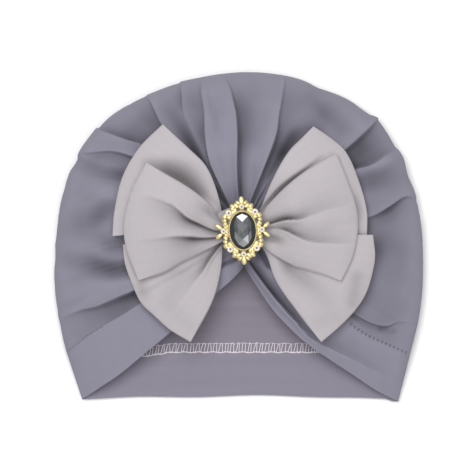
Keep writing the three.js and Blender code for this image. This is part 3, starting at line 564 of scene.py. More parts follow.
class Finish:
    """A material being made."""

    def __init__(self, name):
        self.material = bpy.data.materials.new(name)
        self.material.use_nodes = True
        self.tree = self.material.node_tree
        self.tree.nodes.clear()

    def node(self, kind, settings=None, inputs=None, output=0):
        """Adds any node, with its settings and the values or links of its sockets, for one output."""
        made = self.tree.nodes.new(kind)
        for key, value in (settings or {}).items():
            setattr(made, key, value)
        for key, value in (inputs or {}).items():
            if isinstance(value, Value):
                self.tree.links.new(value.socket, made.inputs[key])
            else:
                made.inputs[key].default_value = value
        return None if output is None else Value(self, made.outputs[output])

    def mix(self, share, first, second):
        """A colour a share of the way from first to second."""
        return self.node("ShaderNodeMix", {"data_type": "RGBA"}, {0: share, 6: first, 7: second}, 2)

    def place(self):
        """The object's own coordinates, in metres."""
        return self.node("ShaderNodeTexCoord", output="Object")

    def noise(self, vector, scale, detail):
        """A noise texture's value."""
        inputs = {"Vector": vector, "Scale": scale, "Detail": detail}
        return self.node("ShaderNodeTexNoise", None, inputs, "Fac")

    def attribute(self, name):
        """A value that the mesh carries."""
        return self.node("ShaderNodeAttribute", {"attribute_name": name}, output="Fac")

    def bump(self, height, strength, distance=0.0002):
        """A normal tilted by a height, distance in metres."""
        inputs = {"Strength": strength, "Distance": distance, "Height": height}
        return self.node("ShaderNodeBump", None, inputs)

    def surface(self, **inputs):
        """The shader itself, with its sockets by name."""
        names = {key.replace("_", " "): value for key, value in inputs.items()}
        shader = self.node("ShaderNodeBsdfPrincipled", None, names)
        self.node("ShaderNodeOutputMaterial", None, {"Surface": shader}, None)
        return self.material


def shade(colour, factor):
    """A colour made lighter or darker, with full alpha."""
    return (*[min(1.0, part * factor) for part in colour[:3]], 1.0)


# Scale of a wave texture on metres whose bands are 1 mm apart
BAND_SCALE = 314
# Each cloth's distance between bands in millimetres, strength of bump, sheen and roughness
JERSEY = (9.0, 0.35, 0.1, 0.9)
RIBBON = (5.0, 0.2, 0.15, 0.75)


def knit_finish(name, colour, apart, strength, sheen, roughness):
    """Jersey or ribbon cloth: soft bands along and across it, a fine grain, a slow change of tone.

    The bands lie on the cloth's own map, and shade is painted into the folds: the fold value darkens
    the colour. Where the value inside is above 0, as on the inner face of the back, the colour is
    warmer and streaked along X.
    """
    finish = Finish(name)
    cloth = finish.node("ShaderNodeUVMap", {"uv_map": "cloth"})
    place = finish.place()

    def bands(direction, share, distortion):
        scale = BAND_SCALE / (apart * share)
        inputs = {"Vector": cloth, "Scale": scale, "Distortion": distortion, "Detail": 1.0}
        return finish.node("ShaderNodeTexWave", {"bands_direction": direction}, inputs, "Fac")

    wale = bands("X", 1.0, 0.4)
    row = bands("Y", 0.8, 0.6)
    slow = finish.noise(place, 38.0, 3.0)
    fine = finish.noise(place, 900.0, 2.0)
    lying = finish.node("ShaderNodeMapping", None, {"Vector": place, "Scale": (14.0, 210.0, 14.0)})
    streak = finish.noise(lying, 1.0, 3.0)
    knit = wale * 0.6 + row * 0.4 + fine * 0.35
    tone = finish.mix(slow * 0.5 + knit * 0.2, shade(colour, 0.95), shade(colour, 1.05))
    warm = (colour[0] * 0.90, colour[1] * 0.85, colour[2] * 0.82)
    back = finish.mix(streak, shade(warm, 0.84), shade(warm, 1.22))
    tone = finish.mix(finish.attribute("inside") * 0.8, tone, back)
    # Painted shade: the fold value darkens the colour towards 0.15 of it, deepest in the folds
    dark = finish.mix(finish.attribute("fold"), tone, shade(colour, 0.15))
    return finish.surface(
        Base_Color=dark, Roughness=roughness, Sheen_Weight=sheen, Sheen_Roughness=0.5,
        Specular_IOR_Level=0.25, Normal=finish.bump(knit, strength))


def gold_finish(name, colour):
    """Pale polished gold, darker and browner the lower it lies on the plate, and a little uneven in its
    shine.
    """
    finish = Finish(name)
    grain = finish.noise(finish.place(), 700.0, 3.0)
    brown = shade((colour[0], colour[1] * 0.78, colour[2] * 0.45), 0.5)
    tone = finish.mix(finish.attribute("low") * 0.8, shade(colour, 1), brown)
    return finish.surface(
        Base_Color=tone, Metallic=0.7, Roughness=grain * 0.2 + 0.36, Normal=finish.bump(grain, 0.35))


def stone_finish(name, dark, light):
    """A cut stone with painted reflections: each facet has its own brightness between the dark and the light
    colour, so that it reads as glass with depth.
    """
    finish = Finish(name)
    # Painted reflection: the facet value mixes each face from the dark colour to the light one.
    tone = finish.mix(finish.attribute("facet"), shade(dark, 1), shade(light, 1))
    return finish.surface(Base_Color=tone, Roughness=0.08, Metallic=0.0, Specular_IOR_Level=0.4)


def thread_finish(name, colour):
    """Sewing thread: a soft matt colour that changes a little along it."""
    finish = Finish(name)
    grain = finish.noise(finish.place(), 1500.0, 2.0)
    tone = finish.mix(grain, shade(colour, 0.82), shade(colour, 1.12))
    return finish.surface(Base_Color=tone, Roughness=0.8, Normal=finish.bump(grain, 0.4, 0.0001))


# Pieces

def crown_columns(share):
    """Bearings of the crown's columns at each share.

    The columns follow the seams and the lines of the sharp folds, all but the thin one, which ends
    half way. Between two of them a column stands at t - 0.8 sin(2 pi t) / 2 pi of the way, so that
    they crowd beside the folds.
    """
    folds = [fold for name, fold in FOLDS.items() if fold.side != 0 and name != "top left thin"]
    lines = [smooth(table("share line depth", fold.line), "share", "line")(share) for fold in folds]
    lines += [smooth(seam, "share", "bearing")(share) for seam in SEAMS.values()]
    order = np.argsort([line[-1] for line in lines])
    lines = [lines[i] for i in order]
    found = [lines[0]]
    for here, after in zip(lines, lines[1:]):
        count = int(np.clip((after[-1] - here[-1]) * 1.5, 12, 40))
        t = np.linspace(0, 1, count + 1)[1:]
        place = t - 0.8 * np.sin(2 * np.pi * t) / (2 * np.pi)
        found += [lerp(here, after, f) for f in place]
    return np.array(found).T


def back_seam_distance(bearing, left, right, end_distance):
    """Distance from the gather to the straight seam across the back, eased at its two ends' bearings."""
    def straight(at):
        return (BACK_SEAM - GATHER[1]) / np.sin(np.radians(at))

    from_end = np.minimum(bearing - left, right - bearing)
    return straight(bearing) - (straight(left) - end_distance) * np.exp(-from_end / 6)


def crown_surface(sizes):
    """The crown's outer face.

    Front: distance is reach times share and height the dome's. Side: a quarter turn, distance
    reach - curl (1 - cos) and height edge (1 - sin). Both are pushed in along their own normal
    by the folds. It gives the points, the depth of fold at each, and the map.
    """
    share = np.concatenate([FRONT_SHARES, np.ones(len(SIDE_TURN))])
    bearing = crown_columns(share)
    wide = share[:, None] + 0 * bearing
    reach, edge = reach_at(bearing), edge_at(bearing)
    phi = np.concatenate([np.zeros(len(FRONT_SHARES)), SIDE_TURN])[:, None]
    distance = reach * wide - UNDER_CURL * (1 - np.cos(phi))
    height = np.where(phi > 0, edge * (1 - np.sin(phi)), front_height(bearing, wide))
    out, up = np.gradient(distance, axis=0), np.gradient(height, axis=0)
    size = np.maximum(np.hypot(out, up), 1e-9)
    depth = fold_depth(bearing, wide, reach * wide) * sizes.fold_scale * np.cos(phi)
    angle = np.radians(bearing)
    ripple = cloth_ripple(reach * wide * np.cos(angle), reach * wide * np.sin(angle), 0.22)
    live = smoothstep(wide, 0.1, 0.3) * (1 - 0.8 * smoothstep(wide, 0.9, 1))
    depth = depth + ripple * np.cos(phi) * live
    distance = distance + depth * up / size
    height = np.maximum(height - depth * out / size, 0.0)
    cloth = np.stack([angle * 60, distance], axis=-1)
    return from_gather(bearing, distance, height), depth, cloth


def lower_back(points):
    """The back's rim between the two seams, from left to right: the straight seam with eased ends."""
    ends = points[-1, -1], points[-1, 0]
    left, right = (bearing_of(end) for end in ends)
    bearing = np.linspace(left, right, BACK_COLUMNS)[1:-1]
    end_distance = sum(np.hypot(*(end[:2] - GATHER)) for end in ends) / 2
    return from_gather(bearing, back_seam_distance(bearing, left, right, end_distance), 0)


# Points across the band, from the seam to the hem
BAND_ROWS = 30
# Points along the seam across the back, and rings from the rim to the middle, the ends counted in
BACK_COLUMNS = 42
BACK_RINGS = 16
# Where the cloth of crown and band meets at the gather
GATHER_TIP = np.array([*GATHER, GATHER_HEIGHT - 1])


def build_crown(sizes, colours):
    """The crown's front, side turn and back as one closed-up sheet with a wall.

    The back is the rim drawn in flat to the point under the gather.
    """
    upper, depth, cloth = crown_surface(sizes)
    rows, columns = upper.shape[:2]
    front = grid_index(rows, columns)
    tip, middle = GATHER_TIP, np.array([*GATHER, 0.0])
    pole, start = rows * columns, rows * columns + 2
    lower = lower_back(upper)
    rim = np.concatenate([upper[-1], lower])
    shares = np.linspace(1, 0, BACK_RINGS)[1:-1]
    back = middle + (rim[None] - middle) * shares[:, None, None]
    rim_ids = np.concatenate([front[-1], start + np.arange(len(lower))])
    inner_ids = grid_index(len(shares), len(rim), start + len(lower))
    ids = np.vstack([rim_ids, inner_ids, np.full(len(rim), pole + 1)])
    ids = np.hstack([ids, ids[:, :1]])
    points = np.concatenate([upper.reshape(-1, 3), [tip], [middle], lower, back.reshape(-1, 3)])
    faces = cells(np.vstack([np.full(columns, pole), front[0]])) + cells(front) + cells(ids)
    # The fold value is painted shade, darker with the depth of fold; the back's points have none.
    fold, inside, flat = np.zeros(len(points)), np.ones(len(points)), points[:, :2].copy()
    fold[:pole] = painted_fold_shade(depth, JERSEY_DEEPEST).ravel()
    inside[:pole] = 0
    flat[:pole] = cloth.reshape(-1, 2)
    finish = knit_finish("jersey", colours.jersey, *JERSEY)
    piece = make_piece("crown_cloth", points, faces, finish, flat,
                       {"fold": fold, "inside": inside}, sizes.crown_wall)
    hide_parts("crown")
    return piece


def hem_rows(hem, share, phi):
    """The hem at each share, rolled in under the cap at the corner as the crown's rim is."""
    x, y, z = curves(hem, "share", "x y z", share)
    x = x - np.sign(x) * HEM_CURL * (1 - np.cos(phi))
    return np.stack([x, y, z * (1 - np.sin(phi))], axis=-1)


def front_band(rim, hem, strip, lift):
    """One side of the band over the front, and how deep its hollows are.

    Straight rows from the rim to the hem are raised by lift times a sine. strip says whether a strip
    stands up beside the hem, with the form of a fold that drops away. The seam puckers it, as a fine
    sine that dies away from the seam. Under the bow it stays below the unfolded front.
    """
    share = np.concatenate([[0], FRONT_SHARES, np.ones(len(SIDE_TURN))])
    phi = np.concatenate([[0], np.zeros(len(FRONT_SHARES)), SIDE_TURN])
    across = np.linspace(0, 1, BAND_ROWS)[None, :]
    hem = hem_rows(hem, share, phi)
    grid = lerp(rim[:, None], hem[:, None], across[..., None])
    length = np.linalg.norm(hem - rim, axis=1)[:, None]
    live = (1 - share ** 3)[:, None]
    rise = lift * live * np.sin(np.pi * across)
    pucker = 0.10 * np.sin(2 * np.pi * run_length(rim)[:, None] / 2.3) * np.exp(-across * length / 2.2)
    depth = hollow_depth(BAND_HOLLOWS, grid[..., 0], grid[..., 1])
    depth = depth - cloth_ripple(grid[..., 0], grid[..., 1], 0.2) * np.sin(np.pi * across) * live
    if strip:
        columns = curves(STRIP, "share", "width depth wide", share)
        width, deep, wide = (column[:, None] for column in columns)
        depth = depth + deep * fold_form((1 - across) * length - width, 1, 0.7, wide)
    rise = rise + pucker * smoothstep(share, 0.1, 0.3)[:, None] - depth
    grid[..., 2] += rise * np.cos(phi)[:, None]
    bed = bed_height(grid[..., 0], grid[..., 1]) - 0.2
    under_bow = 1 - smoothstep(share, 0.45, 0.6)[:, None]
    grid[..., 2] -= np.maximum(grid[..., 2] - bed, 0) * under_bow
    return grid, depth * np.cos(phi)[:, None]


def back_band(rim, left_end, right_end):
    """The band across the back: straight rows to a hem that waves a little and meets both corners."""
    place = (np.arange(len(rim)) + 1) / (len(rim) + 1)
    dip = np.abs(2 * place - 1) ** 3
    wave = 0.5 * np.sin(place * 14) * (1 - dip)
    x = lerp(left_end[0], right_end[0], place)
    y = lerp(BACK_HEM + wave, left_end[1], dip)
    hem = np.stack([x, y, 0 * place], axis=-1)
    return lerp(rim[:, None], hem[:, None], np.linspace(0, 1, BAND_ROWS)[None, :, None])


def build_band(sizes, colours):
    """The band round the whole hem as one sheet: front left, back, front right."""
    upper, _, _ = crown_surface(sizes)
    left, left_fold = front_band(np.vstack([GATHER_TIP, upper[:, -1]]), HEM_LEFT, False, 0.9)
    right, right_fold = front_band(np.vstack([GATHER_TIP, upper[:, 0]]), HEM_RIGHT, True, 1.6)
    back = back_band(lower_back(upper), left[-1, -1], right[-1, -1])
    grid = np.concatenate([left, back, right[::-1]])
    grid[..., 2] = np.maximum(grid[..., 2], 0)
    across = np.linspace(0, 1, BAND_ROWS)
    deep = np.linalg.norm(grid[:, -1] - grid[:, 0], axis=1)[:, None] * across
    flat = np.stack([mean_length(grid)[:, None] + 0 * deep, deep], axis=-1).reshape(-1, 2)
    index = grid_index(*grid.shape[:2])
    index[-1, 0] = index[0, 0]
    level = 0 * back[..., 0]
    # The fold value is painted shade, darker with the depth of the band's creases, hollows and strip.
    fold = painted_fold_shade(np.concatenate([left_fold, level, right_fold[::-1]]), JERSEY_DEEPEST).ravel()
    inside = np.concatenate([0 * left_fold, level + 0.45, 0 * right_fold]).ravel()
    finish = knit_finish("jersey_band", colours.jersey_band, *JERSEY)
    piece = make_piece("hem_band_cloth", grid.reshape(-1, 3), cells(index), finish, flat,
                       {"fold": fold, "inside": inside}, sizes.band_wall)
    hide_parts("hem_band")
    return piece


def nine_cells(top):
    """The grid moved to each of the nine cells round a cell, itself among them."""
    wide = np.pad(top, 1, mode="edge")
    count = len(top)
    return [wide[a:a + count, b:b + count] for a in range(3) for b in range(3)]


class Pile:
    """Height of the cloth laid so far over the plan, on a grid of 1 mm, for the next sheet to lie on."""

    # Half the grid's side, in millimetres
    HALF = 100

    def __init__(self):
        side = np.arange(-self.HALF, self.HALF + 1.0)
        self.top = bed_height(*np.meshgrid(side, side, indexing="ij"))

    def add(self, points):
        """Lays a sheet down: each cell keeps the highest point within two cells, then a mean over three."""
        top = self.top.copy()
        i, j = (np.clip(np.rint(points[..., k] + self.HALF).astype(int), 0, 2 * self.HALF) for k in (0, 1))
        np.maximum.at(top, (i, j), points[..., 2])
        for _ in range(2):
            top = np.max(nine_cells(top), axis=0)
        self.top = np.mean(nine_cells(top), axis=0)

    def height(self, x, y):
        """Height at any point, between the four cells round it."""
        x, y = (np.clip(part + self.HALF, 0, 2 * self.HALF - 0.1) for part in (x, y))
        i, j = x.astype(int), y.astype(int)
        low = lerp(self.top[i, j], self.top[i + 1, j], x - i)
        return lerp(low, lerp(self.top[i, j + 1], self.top[i + 1, j + 1], x - i), y - j)


def wing_plan(wing, along, across):
    """A patch spanned by a wing's four edges: the two pairs blended, less the blend of the corners."""
    one, two, end = path_curve(wing.one)(along), path_curve(wing.two)(along), path_curve(wing.end)(across)
    a, t = across[..., None], along[..., None]
    first, second = np.array(wing.one[0]), np.array(wing.two[0])
    outer, inner = np.array(wing.one[-1]), np.array(wing.two[-1])
    root = lerp(first, second, a)
    return lerp(one, two, a) + lerp(root, end, t) - lerp(root, lerp(outer, inner, a), t)


def crease_depth(name, away, bearing):
    """How far a wing's creases push its upper cloth in, each with the form of a fold of the crown."""
    total = np.zeros_like(away)
    for side, rows in CREASES[name]:
        rows = table("away bearing depth width", rows)
        line, depth, width = curves(rows, "away", "bearing depth width", away)
        across = np.radians((bearing - line + 180) % 360 - 180) * away
        total += depth * fold_form(across, side, 0.5, np.maximum(width, 0.4))
    return total


# Room between a sheet and the one it lies on, in millimetres
SHEET_GAP = 0.3


def wing_heights(name, plan, along, across, layer, wall, pile):
    """Height of a wing, and the shade painted into its upper cloth's creases, darker with their depth.

    Over the crown by a level that goes from the pinch's to the one between its two edges, never
    into the sheets below, and by the parting of its two cloths, a lens across, sine to the 0.8.
    """
    wing = WINGS[name]
    x, y = plan[..., 0], plan[..., 1]
    dx, dy = x - BROOCH[0], y - BROOCH[1]
    away, bearing = np.hypot(dx, dy), np.degrees(np.arctan2(dy, dx))
    level = lerp(wing.first, wing.second, across) - wing.drop * smoothstep(along, 0.6, 1)
    level = lerp(wing.near, level, smoothstep(away, 11, 27))
    under = np.maximum(bed_height(x, y) + level, pile.height(x, y) + SHEET_GAP)
    lens = np.sin(np.pi * np.clip(across, 0, 1)) ** 0.8
    parted = smoothstep(along, 0.05, 0.5) * (1 - 0.6 * smoothstep(along, 0.6, 0.9))
    gap = lerp(1.3 * lens + 0.3, lerp(0.5, wing.part, lens), parted)
    gap = 0.1 + gap * (1 - np.clip((along - 0.8) / 0.2, 0, 1) ** 2.4)
    crease = crease_depth(name, away, bearing) * (1 - smoothstep(along, 0.93, 1))
    if name.startswith("down"):
        crease = crease + hollow_depth(WING_HOLLOWS, x, y)
    top = under + 2 * wall + gap - np.minimum(crease, gap)
    # The second value is painted shade, darker with the depth of the creases, on the upper cloth only.
    return lerp(under, top, layer), painted_fold_shade(crease, RIBBON_DEEPEST) * layer


# Width of the ribbon on its own map, in millimetres
RIBBON_WIDTH = 58


def build_ribbon(name, sizes, finish, pile):
    """A ribbon as one loop: out over one wing and back below it, and the same on the other side.

    Both layers run to 0.985 of the wing, and a half circle of height closes its end. The upper one's
    two edges lie in a little, by 0.010 of the width.
    """
    across = np.linspace(0, 1, 61)
    out = np.linspace(0, 1, 50) ** 0.9 * 0.985
    round_end = np.linspace(0, np.pi, 9)[1:-1]
    along = np.concatenate([out, 0.985 + 0.015 * np.sin(round_end), out[::-1]])
    layer = np.concatenate([np.ones(len(out)), 0.5 + 0.5 * np.cos(round_end), np.zeros(len(out))])
    sheets, folds = [], []
    for side, order in zip(RIBBONS[name], (1, -1)):
        t, v = np.meshgrid(along[::order], across, indexing="ij")
        height = layer[::order][:, None] + 0 * v
        lap = 1 - 2 * v
        live = smoothstep(t, 0.05, 0.3) * (1 - smoothstep(t, 0.8, 0.95))
        inset = 0.010 * height * np.sign(lap) * np.abs(lap) ** 12 * live
        plan = wing_plan(WINGS[side], t, np.clip(v + inset, 0, 1))
        z, fold = wing_heights(side, plan, t, v, height, sizes.ribbon_wall, pile)
        sheets.append(np.concatenate([plan, z[..., None]], axis=-1))
        folds.append(fold)
    grid = np.concatenate(sheets)
    pile.add(grid)
    length = mean_length(grid)[:, None] + 0 * across
    flat = np.stack([across * RIBBON_WIDTH + 0 * length, length], axis=-1).reshape(-1, 2)
    index = grid_index(*grid.shape[:2])
    index = np.vstack([index, index[:1]])
    # The fold value is the painted shade of the ribbon's creases.
    piece = make_piece(name + "_cloth", grid.reshape(-1, 3), cells(index), finish, flat,
                       {"fold": np.concatenate(folds).ravel()}, sizes.ribbon_wall)
    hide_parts(name)
    return piece


# The knot: its half width at the ends and what its middle adds, its half length, how far its ends
# drop, how far its left corner shows, its shift across itself, where its middle lies, and its turn
KNOT = {
    "narrow": 1.6, "broad": 7.0, "reach": 13.2, "drop": 10.5, "corner": 3.6,
    "shift": -1.6, "x": 2.72, "turn": 4,
}


def build_knot(sizes, finish):
    """The strap over the pinch, as two layers of ribbon.

    u runs along it and v across. It is broad under the brooch, with one corner that shows on its
    left, and narrow at both ends, where it drops to the cloth.
    """
    u, v = np.meshgrid(np.linspace(-1, 1, 60), np.linspace(-1, 1, 33), indexing="ij")
    half = KNOT["narrow"] + KNOT["broad"] * np.exp(-((u / 0.62) ** 4))
    corner = KNOT["corner"] * np.maximum(-v, 0) * np.exp(-(((u - 0.48) / 0.17) ** 2))
    drop = smoothstep(np.abs(u), 0.62, 1.0)
    z = BROOCH_HEIGHT - 1.2 - 0.9 * v ** 2 * np.exp(-((u / 0.6) ** 4))
    z = z - KNOT["drop"] * drop ** 1.3 + 0.35 * np.cos(v * 9) * (1 - drop)
    x = v * half + KNOT["shift"] - corner
    px, py = turned(x, KNOT["reach"] * np.sin(u * np.pi / 2), KNOT["turn"], (KNOT["x"], BROOCH[1]))
    points = np.stack([px, py, z], axis=-1).reshape(-1, 3)
    flat = np.stack([v * half, u * 20], axis=-1).reshape(-1, 2)
    # Painted shade: the fold value darkens the knot towards the side where its corner shows.
    fold = (0.3 * np.maximum(-v, 0) ** 2).ravel()
    faces = cells(grid_index(*u.shape)[:, ::-1])
    piece = make_piece("knot_cloth", points, faces, finish, flat, {"fold": fold},
                       2 * sizes.ribbon_wall)
    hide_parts("knot")
    return piece


def on_plate(points):
    """Points of the brooch's own plate, turned and set down at the brooch's place."""
    x, y = turned(points[..., 0], points[..., 1], BROOCH_TURN, BROOCH)
    return np.stack([x, y, points[..., 2] + BROOCH_HEIGHT], axis=-1)


class Casting:
    """Closed surfaces gathered into one piece."""

    def __init__(self):
        self.points, self.faces, self.count = [], [], 0

    def add(self, grid, closed_rows=False):
        """A grid whose second direction goes round. Its first and last rows meet, or are a point each."""
        rows, columns = grid.shape[:2]
        index = grid_index(rows, columns, self.count)
        index = np.hstack([index, index[:, :1]])
        if closed_rows:
            index = np.vstack([index, index[:1]])
        else:
            index[0], index[-1] = index[0, 0], index[-1, 0]
        self.faces += cells(index)
        self.points.append(grid.reshape(-1, 3))
        self.count += rows * columns

    def everything(self):
        """All points and all faces."""
        return np.concatenate(self.points), self.faces


def angles(count):
    """Angles evenly round a circle."""
    return np.linspace(0, 2 * np.pi, count, endpoint=False)


def leaf_surface(x, y, turn, length, width, height, base):
    """A cast leaf: half width the root of a sine of the way along, domed, with a groove down its middle."""
    u, v = np.meshgrid(np.linspace(0, 1, 11), angles(14), indexing="ij")
    half = width / 2 * np.sin(np.pi * u ** 1.15) ** 0.5
    side = np.cos(v)
    groove = 1 - 0.38 * np.exp(-((side / 0.3) ** 2))
    crown = np.where(np.sin(v) > 0, np.sin(v) * groove, 0.4 * np.sin(v))
    z = base + height * crown * (0.25 + 0.75 * np.sin(np.pi * u ** 0.7))
    px, py = turned(u * length, half * side, turn, (x, y))
    return np.stack([px, py, z], axis=-1)


def bead_surface(x, y, radius, height, base, sides=8, rings=6):
    """A round bead: a sphere flattened to half its height above base and half below."""
    u, v = np.meshgrid(np.linspace(0, np.pi, rings), angles(sides), indexing="ij")
    out = radius * np.sin(u)
    return np.stack([x + out * np.cos(v), y + out * np.sin(v), base - height * np.cos(u)], axis=-1)


def ring_surface(half_width, half_length, profile, count=72):
    """An oval ring: a closed profile of distance out and height, carried round the oval."""
    out, z = np.array(profile, float).T[..., None]
    angle = angles(count)
    x, y = (half_width + out) * np.cos(angle), (half_length + out) * np.sin(angle)
    return np.stack([x, y, z + 0 * angle], axis=-1)


def arc_surface(half_width, half_length, start, finish, profile):
    """Part of an oval ring, from one degree to another, closed to a point at both ends."""
    profile = np.array(profile, float)
    tip = np.tile(profile.mean(axis=0), (1, len(profile), 1))
    profile = np.concatenate([tip, np.tile(profile, (9, 1, 1)), tip])
    angle = np.radians(np.concatenate([[start], np.linspace(start, finish, 9), [finish]]))[:, None]
    out, z = profile[..., 0], profile[..., 1]
    return np.stack([(half_width + out) * np.cos(angle), (half_length + out) * np.sin(angle), z], axis=-1)


# The pierced plate between its eight holes, in degrees round the oval
LACE = table("start finish", [
    (84, 96), (108, 148), (161, 197), (210, 252), (264, 276), (288, 330), (343, 379), (32, 72),
])
# Leaves of one quarter of the brooch, on its plate: foot, turn, length, width and height
LEAVES = table("x y turn length width height", [
    (0.0, 12.0, 90, 4.5, 2.5, 1.4),
    (0.8, 12.4, 42, 2.7, 1.7, 1.3),
    (1.0, 11.3, 12, 3.0, 2.0, 1.3),
    (2.4, 11.2, 64, 2.3, 2.0, 1.3),
    (3.1, 10.6, 40, 3.1, 2.1, 1.4),
    (4.0, 9.3, 72, 2.6, 1.9, 1.3),
    (4.6, 8.8, 30, 2.0, 1.8, 1.2),
    (6.8, 7.5, -4, 2.6, 2.0, 1.3),
    (6.9, 6.5, 14, 2.9, 2.1, 1.4),
    (7.2, 5.4, -16, 2.6, 2.1, 1.4),
    (7.3, 4.3, -46, 2.8, 1.9, 1.3),
    (7.9, 2.6, -78, 2.2, 1.7, 1.2),
    (9.5, 0.8, 38, 4.4, 2.0, 1.3),
])
# The eight small stones on the plate
SMALL_STONES = table("x y radius", [
    (0, 11.4, 0.95), (6.3, 8.6, 1.15), (9.2, 0.1, 0.95), (6.3, -8.6, 1.15),
    (0, -11.4, 0.95), (-6.3, -8.6, 1.15), (-9.2, 0.1, 0.95), (-6.3, 8.6, 1.15),
])
# Half widths and half lengths of the setting's ovals
BEZEL_OVAL = (6.2, 8.9)
PLATE_OVAL = (0.1, 2.8)
LACE_OVAL = (8.0, 10.7)
BEAD_OVAL = (6.82, 9.52)
# Sections of the setting's rings as distance out and height: the bezel round the oval stone, its
# back plate, a piece of the lace, and a small stone's cup
BEZEL = [(0, 0), (0.5, 0), (0.5, 1.8), (0.35, 2.2), (0.15, 2.3), (0.0, 2.1)]
BACK_PLATE = [(0, 0.0), (6.3, 0.0), (6.3, 0.7), (0, 0.7)]
LACE_SECTION = [(-1.5, 0.2), (1.0, 0.2), (1.2, 0.9), (0.8, 1.3), (-1.2, 1.3), (-1.5, 0.9)]
CUP = [(-0.15, 0.3), (0.45, 0.3), (0.45, 1.9), (0.25, 2.2), (0.0, 2.1), (0.0, 1.5)]
# A bead's radius and half its height, and half the height of the gold under a small stone
BEAD = (0.31, 0.34)
UNDER_STONE = 0.6
# Heights on the plate: the leaves' feet, the beads' middles, and where the gold starts to darken
LEAF_FOOT = 0.9
BEAD_MIDDLE = 2.0
LOW_TOP = 1.4


def build_setting(sizes, colours):
    """The cast setting: bezel, beads, a wreath, leaves in four mirrored quarters and eight cups."""
    cast = Casting()
    cast.add(ring_surface(*BEZEL_OVAL, BEZEL), True)
    cast.add(ring_surface(*PLATE_OVAL, BACK_PLATE), True)
    for start, finish in zip(*LACE.values()):
        cast.add(arc_surface(*LACE_OVAL, start, finish, LACE_SECTION))
    angle = angles(sizes.beads)
    for x, y in zip(BEAD_OVAL[0] * np.cos(angle), BEAD_OVAL[1] * np.sin(angle)):
        cast.add(bead_surface(x, y, *BEAD, BEAD_MIDDLE))
    for x, y, turn, length, width, height in zip(*LEAVES.values()):
        for flip_x, flip_y in ((1, 1), (-1, 1), (-1, -1), (1, -1)):
            if x == 0 and flip_x < 0:
                continue
            ahead = np.radians(turn)
            mirrored = np.degrees(np.arctan2(flip_y * np.sin(ahead), flip_x * np.cos(ahead)))
            cast.add(leaf_surface(flip_x * x, flip_y * y, mirrored, length, width, height, LEAF_FOOT))
    for x, y, radius in zip(*SMALL_STONES.values()):
        cast.add(ring_surface(radius, radius, CUP, 20) + np.array([x, y, 0]), True)
        cast.add(bead_surface(x, y, radius + 0.1, UNDER_STONE, LEAF_FOOT, 12))
    points, faces = cast.everything()
    low = np.clip(LOW_TOP - points[:, 2], 0, 1)
    finish = gold_finish("gilt", colours.gold)
    piece = make_piece("brooch_lace", on_plate(points), faces, finish, values={"low": low})
    fix_normals(piece)
    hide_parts("brooch_setting")


def fix_normals(piece):
    """Turns every closed surface of a piece to face outwards."""
    work = bmesh.new()
    work.from_mesh(piece.data)
    bmesh.ops.recalc_face_normals(work, faces=work.faces)
    work.to_mesh(piece.data)
    work.free()


# Kinds of a stone's faces on its step, and from its girdle down
STEP_KIND = 30
BELOW_KIND = 31


def cut_surface(half_width, half_length, sides, girdle, top, table_share, step):
    """A cut stone: table, star facets, kites, a step down to the girdle, and a pavilion.

    Each ring of points is the oval times a share. The inner edge of the step zigzags, at the shares
    that step gives for its points. A face's kind is its side, plus 10 for a star facet and 20 for a
    kite, or STEP_KIND or BELOW_KIND.
    """
    def ring(share, z, count):
        angle = 2 * np.pi * np.arange(count) / count + np.pi / 2
        share, z = share + np.zeros(count), z + np.zeros(count)
        x, y = half_width * share * np.cos(angle), half_length * share * np.sin(angle)
        return np.stack([x, y, z], axis=-1)

    step = np.resize(step, 2 * sides)
    points = np.concatenate([
        ring(table_share, top, sides),
        ring(step, girdle + (top - girdle) * (1.5 - 1.3 * step), 2 * sides),
        ring(1, girdle, 2 * sides),
        ring(1, girdle - 0.4, 2 * sides),
        ring(0.45, 0.0, sides),
        [[0, -0.1 * half_length, top]],
    ])
    inner, outer, low, base, middle = (n * sides for n in (1, 3, 5, 7, 8))
    faces, kinds = [], []
    for i in range(sides):
        after, here, nxt = (i + 1) % sides, 2 * i, 2 * i + 1
        last, far = (here - 1) % (2 * sides), (here + 2) % (2 * sides)
        faces += [[middle, i, after], [i, inner + nxt, after], [i, inner + last, inner + here, inner + nxt]]
        kinds += [i, 10 + i, 20 + i]
        for a, c in ((here, nxt), (nxt, far)):
            faces += [[inner + a, outer + a, outer + c, inner + c], [outer + a, low + a, low + c, outer + c]]
            kinds += [STEP_KIND, BELOW_KIND]
        faces += [[low + here, base + i, low + nxt], [low + nxt, base + i, base + after]]
        faces += [[low + nxt, base + after, low + far]]
        kinds += [BELOW_KIND] * 3
    faces.append([base + i for i in reversed(range(sides))])
    kinds.append(BELOW_KIND)
    return points, faces, kinds


# The inner edge of the oval stone's step, anticlockwise from its top, and the painted reflection
# on each kind of its faces, as a brightness from dark to light
OVAL_STEP = (0.9, 0.88, 0.76, 0.62, 0.76, 0.82, 0.9, 0.82, 0.78, 0.66, 0.8, 0.88)
OVAL_REFLECTIONS = {
    0: 0.11, 1: 0.075, 2: 0.05, 3: 0.07, 4: 0.045, 5: 0.1,
    10: 0.1, 11: 0.05, 12: 0.17, 13: 0.45, 14: 0.05, 15: 0.1,
    20: 1.0, 21: 0.075, 22: 0.19, 23: 0.26, 24: 0.16, 25: 0.08,
    STEP_KIND: 0.012, BELOW_KIND: 0.0,
}
# Height of the stones' lowest points on the plate, and the colour of the small ones' darkest faces,
# the dark end of their painted reflections
OVAL_FOOT = 1.3
SMALL_FOOT = 1.75
CLEAR_DARK = (0.03, 0.03, 0.04)


def small_reflection(kind):
    """Painted reflection on a small stone's face: dark table, half bright stars, and bright all round them.
    """
    if kind < 6:
        return 0.08
    return 0.45 if 10 <= kind < 20 else 1.0


